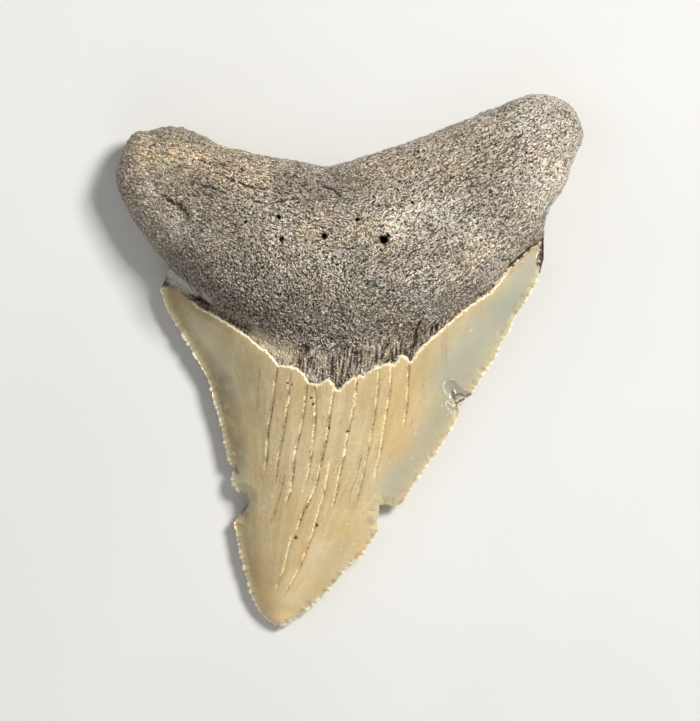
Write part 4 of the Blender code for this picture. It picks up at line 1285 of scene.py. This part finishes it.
def root_look(g):
    """Colour, roughness and fine height of the mineralised root: dark creases, partly painted
    shade, and pale grain whose brightest tops are painted glints.
    """
    east = g.axis("X")
    sway = g.noise(4.0) * 9.0
    right = g.ramp(east + sway, 4.5, 6.5)
    upper = g.ramp(g.axis("Y") + sway, 20.0, 22.5)
    shaken = g.shaken(0.42, 0.9)

    def by_place(above, below, beside):
        """One of three values: at the upper left, the lower left or the right."""
        return g.blend(right, g.blend(upper, below, above), beside)

    def directed(cell, detail, warp):
        """Noise in cells that lean as the root's grain does."""
        cells = (g.leaning(lean, *cell) for lean in GRAIN_LEANS)
        return by_place(*(g.noise(1.0, place, detail, 0.5, warp) for place in cells))

    def pebbled(lean, length, width):
        """Closely packed rounded grains, 0 between them and 1 on top."""
        cells = g.leaning(lean, length, width, shaken)
        inputs = {"Vector": cells, "Scale": 1.0, "Randomness": 0.95}
        gap = g.put("TexVoronoi", inputs, "Distance", feature="DISTANCE_TO_EDGE")
        return g.ramp(gap, 0.0, 0.34)

    wool, worms, strands, folds = (directed(*cells) for cells in GRAIN_CELLS)
    pebbles = by_place(*(pebbled(lean, *cell) for lean, cell in zip(GRAIN_LEANS, PEBBLE_CELLS)))
    fine = g.noise(0.17, detail=1.0)
    neck = g.value("neck")
    crease = g.ridge(worms, 0.5, 0.075)
    outer = g.math("MAXIMUM", upper, right)  # 0 at the lower left, where the pebbles are bold
    level = g.value("grain") * 0.08 + wool * 0.74 - crease * 0.12 + fine * 0.44
    level = level + (pebbles - 0.5) * g.ramp(outer, 0.0, 1.0, (0.30, 0.20))
    combed = g.noise(1.0, g.leaning(84, 2.6, 0.33), 3.0) * 0.65 + 0.21
    level = g.blend(neck * 0.75, level, combed)

    # the grain's colour: near black in its creases, partly painted shade, and near white on its
    # tops, painted glints
    g.colour = g.mix(g.ramp(level, 0.475, 0.565), (0.036, 0.023, 0.015), (0.465, 0.400, 0.324))
    g.lay(g.ramp(level, 0.568, 0.65), (1.0, 0.96, 0.87))
    g.lay(g.ramp(east, -31.0, -10.0, (0.42, 0.0)), (0.29, 0.246, 0.198))
    g.vary(1.0, g.noise(3.5, detail=4), 0.38, 0.62, ((1.03, 1.00, 0.93), (0.985, 0.985, 1.0)))
    g.vary(1.0, g.noise(0.9, detail=1), 0.40, 0.60, ((1.05, 0.98, 0.97), (0.98, 1.01, 0.98)))
    folded = g.ramp(outer, 0.0, 1.0, (0.4, 1.0))
    g.vary(folded, folds, 0.38, 0.60, ((0.74, 0.73, 0.73), (1.22, 1.20, 1.17)))
    stained(g, level, wool, fine)
    some = g.ramp(g.noise(2.6, detail=2), 0.44, 0.60, (0.0, 0.7))
    line = g.ridge(strands, 0.5, 0.040) * some * g.ramp(neck, 0.0, 1.0, (1.0, 0.3))
    g.lay(line, (0.045, 0.032, 0.022))
    # painted shade darkening the furrows
    furrow = g.value("furrow") * 1.5 - pebbles * 0.25 + wool * 0.6
    g.lay(g.ramp(furrow, 0.48, 0.80, (0.0, 0.9)), (0.055, 0.039, 0.028))
    crumb = g.value("crumb") * 0.3 + level
    g.lay(g.ramp(crumb, 0.79, 0.89, (0.0, 0.9)), (0.98, 0.93, 0.84))
    # near-black painted shade in the pits
    g.lay(g.ramp(g.value("hole") + fine * 0.5, 0.5, 0.95), (0.006, 0.005, 0.005))
    rough = g.blend(g.value("shine") * 0.7, g.ramp(level, 0.41, 0.85, (0.60, 0.28)), 0.22)
    height = wool * 0.35 - crease * 0.06 + fine * 0.12 - line * 0.12 + pebbles * 0.30
    return rough, height


def stained(g, level, wool, fine):
    """The root's warmer, paler and darker places, its specks, bone and smooth grey places, with
    painted shade among the darker places and painted glints on the specks and polished places.
    """
    g.tint(g.ramp(g.noise(7.0, detail=3, rough=0.55), 0.42, 0.68, (0, 0.4)), (1.12, 1.03, 0.90))
    g.tint(g.value("tan"), (1.60, 1.42, 1.14))
    g.tint(g.value("pale"), (1.95, 1.97, 1.98))
    # darker places, partly painted shade under the bulge and at the lower left
    g.tint(g.value("dusk"), (0.64, 0.60, 0.59))
    # cream specks, brightened into painted glints
    speck_and_glint = g.ramp(g.noise(0.36, detail=1.5, rough=0.6), 0.58, 0.68)
    g.lay(speck_and_glint * g.ramp(g.noise(2.4), 0.44, 0.66) * 0.55, (0.94, 0.86, 0.70))
    g.lay(g.value("bone") * g.ramp(level, 0.46, 0.55, (0.45, 1.0)), (0.94, 0.82, 0.58))
    dust = g.mix(wool, (0.96, 0.86, 0.73), (1.0, 0.96, 0.86))
    g.lay(g.ramp(g.value("bare") + fine * 0.4, 0.45, 0.85, (0.0, 0.9)), dust)
    # painted glints on the polished places
    g.lay(g.value("shine") * g.ramp(level, 0.52, 0.66, (0.0, 0.8)), (1.0, 0.97, 0.92))


def enamel_look(g):
    """Colour, roughness and fine height of the enamel: cream with blue-grey, gold and olive, and
    painted shade and highlights in places.
    """
    lengthways = g.put("Mapping", {"Vector": g.place, "Scale": (0.0, 0.055, 0.055)})
    down = g.put("VectorMath", {0: lengthways, 1: g.put("CombineXYZ", {0: g.value("flow")})})
    broad = g.noise(6.5, detail=3, rough=0.5)
    g.colour = g.mix(g.ramp(broad, 0.32, 0.68), (0.58, 0.455, 0.245), (0.66, 0.545, 0.325))
    stripes, hair = g.noise(1.5, down, 3, 0.55), g.noise(0.5, down, 2, 0.6)
    body = g.ramp(g.axis("Y"), -36.0, -22.0, (0.3, 1.0))
    clear = g.ramp(g.value("blue"), 0.1, 0.7, (1.0, 0.3)) * body
    g.vary(clear * 0.8, stripes, 0.33, 0.66, ((0.88, 0.86, 0.82), (1.07, 1.06, 1.05)))
    g.vary(clear * 0.9, hair, 0.3, 0.7, ((0.95, 0.94, 0.93), (1.04, 1.04, 1.04)))
    cloud = g.noise(0.75, detail=3, rough=0.6)
    g.vary(1.0, cloud, 0.36, 0.64, ((0.95, 0.93, 0.92), (1.04, 1.04, 1.05)))
    wash = g.ramp(g.noise(2.2, detail=3, rough=0.6), 0.25, 0.62, (0.45, 1.0))
    even = g.ramp(wash, 0.45, 1.0, (0.82, 1.0))
    g.lay(g.value("blue") * even * 0.80, (0.40, 0.42, 0.345))
    # olive and umber here are partly painted shade
    for name, most, stain in (
        ("honey", 1.0, (1.0, 0.71, 0.31)), ("gold", 0.75, (0.68, 0.47, 0.20)),
        ("olive", 0.85, (0.25, 0.205, 0.115)), ("cream", 0.80, (0.90, 0.76, 0.50)),
        ("umber", 0.85, (0.15, 0.105, 0.07)), ("slate", 0.80, (0.28, 0.285, 0.25)),
    ):
        g.lay(g.value(name) * wash * most, stain)
    dash = g.ramp(g.noise(0.14, down, 1.5, 0.5), 0.62, 0.70)
    dash = dash * g.ramp(g.noise(2.0, detail=2), 0.44, 0.62, (0.0, 0.45))
    g.lay(dash * clear, (0.24, 0.16, 0.08))
    g.lay(g.ramp(g.noise(0.8, detail=0.0), 0.80, 0.86, (0.0, 0.35)), (0.92, 0.86, 0.68))
    rimmed(g)
    dented(g)
    mottle = g.noise(0.4, detail=2, rough=0.6)
    bark = g.mix(g.ramp(mottle, 0.45, 0.62), (0.085, 0.06, 0.05), (0.36, 0.28, 0.23))
    g.lay(g.ramp(g.value("bark") + mottle * 0.5, 0.5, 0.9), bark)
    # painted shade in the flake scar and the left edge's chips
    g.lay(g.value("smoke") * wash, (0.05, 0.055, 0.062))
    g.lay(g.value("orange") * g.ramp(mottle, 0.34, 0.6, (0.3, 1.0)), (0.72, 0.38, 0.10))
    cracked(g)
    # chalk bits, and painted highlights on the flake scar and the chip
    g.lay(g.ramp(g.value("chalk") + mottle, 0.85, 1.2), (0.95, 0.90, 0.74))
    g.lay(g.ramp(g.value("spot") + mottle * 1.3, 0.95, 1.35, (0, 0.92)), (0.05, 0.036, 0.024))
    return g.blend(g.ramp(stripes, 0.3, 0.7), 0.30, 0.44), hair * 0.018


def rimmed(g):
    """The enamel's pale rim under the neck and the pale line along its gold-mottled cutting edge,
    both partly painted highlights.
    """
    border, edge = g.value("border"), g.value("edge")
    mottle = g.noise(0.7, detail=3, rough=0.6)
    g.lay(g.ramp(border + mottle, -0.6, 0.35) * 0.45, (0.66, 0.48, 0.24))
    # the cream rim under the neck, partly a painted highlight, held back where painted shade lies
    rim = g.ramp(border + g.noise(0.5, detail=2, rough=0.6), 0.17, 0.33)
    rim = rim * g.ramp(g.noise(0.9, detail=2, rough=0.6), 0.34, 0.50, (0.55, 1.0))
    shaded = g.ramp(g.value("umber"), 0.3, 0.8, (1.0, 0.0))
    g.lay(rim * shaded, (0.98, 0.88, 0.62))
    band = g.ramp(edge + mottle, 0.9, 1.5, (1.0, 0.0))
    g.lay(band * 0.6, (0.72, 0.62, 0.38))
    brown = band * g.ramp(g.noise(0.8, detail=2, rough=0.6), 0.56, 0.68)
    g.lay(brown * 0.6, (0.34, 0.24, 0.12))
    tick = g.value("tick") * g.ramp(g.noise(1.3, detail=2), 0.42, 0.56)
    g.lay(tick * 0.85, (0.22, 0.14, 0.06))
    reach = mottle * 0.35 - g.value("knob") * 0.40
    # the pale line along the cutting edge, partly a painted highlight
    pale = g.ramp(edge + reach, 0.12, 0.34, (1.0, 0.0))
    g.lay(pale * g.ramp(g.noise(0.6, detail=2), 0.38, 0.56, (0.35, 0.95)), (1.0, 0.93, 0.74))


def dented(g):
    """The flake scars and the bites of the edge: a hollow darkened with painted shade, with a pale
    broken rim.
    """
    scar = g.value("scar") + g.noise(0.8, detail=3) * 0.4
    # painted shade inside the scars
    g.lay(g.ramp(scar, -0.1, 0.16, (0.35, 0.0)), (0.36, 0.31, 0.20))
    broken = g.ramp(g.noise(0.7), 0.42, 0.58, (0.1, 0.8))
    g.lay(g.ridge(scar, 0.22, 0.12) * broken, (0.98, 0.94, 0.76))
    bite = g.value("bite") + g.noise(0.6, detail=2) * 0.3
    # painted shade inside the bites
    g.lay(g.ramp(bite, -0.05, 0.12, (0.3, 0.0)), (0.40, 0.31, 0.17))
    broken = g.ramp(g.noise(0.5), 0.48, 0.62, (0.0, 0.35))
    g.lay(g.ridge(bite, 0.16, 0.11) * broken, (1.0, 0.94, 0.72))


def cracked(g):
    """The cracks: a broken brown line with a cream and gold seam beside it."""
    gap = g.value("crack_gap") + g.noise(0.30, detail=3, rough=0.7) * 0.36
    dark, cream = g.value("crack_dark"), g.ramp(g.value("crack_cream"), 0.0, 0.45)
    g.lay(g.ridge(gap, 0.12, 0.60) * (dark * 0.35), (0.42, 0.27, 0.12))
    gold = g.ridge(gap, 0.02, 0.40) * g.ramp(g.noise(0.5, detail=2), 0.40, 0.52, (0.2, 0.9))
    g.lay(gold * cream, (0.72, 0.46, 0.15))
    grit = g.ramp(g.noise(0.17, detail=1.0), 0.49, 0.56, (0.0, 0.9))
    g.lay(g.ridge(gap, 0.06, 0.46) * grit * dark, (0.16, 0.095, 0.04))
    lit = g.ramp(g.noise(0.22, detail=1.0, rough=0.7), 0.45, 0.52)
    g.lay(g.ridge(gap, -0.01, 0.30) * lit * cream, (1.0, 0.92, 0.60))
    broken = g.ramp(g.noise(0.34, detail=1.5, rough=0.6), 0.44, 0.52, (0.05, 1.0))
    g.lay(g.ridge(gap, 0.19, 0.20) * broken * dark, (0.085, 0.045, 0.022))


def finished(g, rough, gloss):
    """The graph's material, with its colour, its roughness and a constant gloss."""
    g.plug(g.shader.inputs["Base Color"], g.colour)
    g.plug(g.shader.inputs["Roughness"], rough)
    g.shader.inputs["Specular IOR Level"].default_value = gloss
    return g.material


def fossil_material(name, look, gloss):
    g = Graph(name)
    rough, height = look(g)
    bump = {"Strength": 1.0, "Distance": MM, "Height": height}
    g.plug(g.shader.inputs["Normal"], g.put("Bump", bump))
    return finished(g, rough, gloss)


def floor_material():
    g = Graph("floor_paper")
    cloud = g.ramp(g.noise(55.0, detail=2), 0.3, 0.7)
    g.colour = g.mix(cloud, (0.74, 0.735, 0.72), (0.77, 0.765, 0.75))
    return finished(g, 0.9, 0.1)


# ---------------------------------------------------------------- the set

def shown(name, data):
    made = bpy.data.objects.new(name, data)
    bpy.context.scene.collection.objects.link(made)
    return made


def floor():
    mesh = bpy.data.meshes.new("floor")
    ends = (-FLOOR_HALF * MM, FLOOR_HALF * MM)
    mesh.from_pydata([(x, y, 0) for y in ends for x in ends], [], [(0, 1, 3, 2)])
    mesh.materials.append(floor_material())
    made = shown("floor", mesh)
    made.location.z = -FLOOR_DROP * MM
    return made


def lamp(name, place, size, power, colour):
    """A square soft light at a place in metres, turned to the tooth."""
    light = bpy.data.lights.new(name, "AREA")
    light.size = size
    light.energy = power
    light.color = colour
    made = shown(name, light)
    made.location = place
    made.rotation_euler = (-Vector(place)).to_track_quat("-Z", "Y").to_euler()


def studio():
    lamp("key", (0.40, 0.30, 0.62), 0.22, 6.6, (1.0, 0.985, 0.95))
    lamp("fill", (-0.50, 0.10, 0.55), 0.60, 0.8, (0.97, 0.98, 1.0))
    lamp("front", (0.10, -0.60, 0.55), 0.50, 0.6, (1.0, 0.98, 0.95))
    world = bpy.data.worlds.new("studio")
    bpy.context.scene.world = world
    world.use_nodes = True
    sky = world.node_tree.nodes["Background"].inputs
    sky["Color"].default_value = (0.88, 0.88, 0.87, 1.0)
    sky["Strength"].default_value = 0.24
    bpy.context.scene.view_settings.view_transform = "Standard"


def camera():
    """Straight above the tooth, so far off that it sees the outline as the outline is."""
    data = bpy.data.cameras.new("camera")
    data.sensor_fit = "VERTICAL"
    data.sensor_height = 24.0
    data.lens = data.sensor_height * CAMERA_DISTANCE / VIEW_HEIGHT
    data.clip_end = 10.0
    made = shown("camera", data)
    made.location = (CAMERA_X * MM, 0.0, (CAMERA_DISTANCE + ROOT_RIM_HEIGHT) * MM)
    bpy.context.scene.camera = made


looks = {
    "enamel": fossil_material("enamel", enamel_look, 0.5),
    "root": fossil_material("mineralised_root", root_look, 0.35),
}
for skin in tooth_pieces():
    skin.data.materials.append(looks[skin.name.split("_")[0]])
    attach(skin, "root")
    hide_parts("tooth")
floor()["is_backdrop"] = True
studio()
camera()

sizes = {"cad": cad_box, "visual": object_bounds()}
{name: [list(corner) for corner in box] for name, box in sizes.items()}
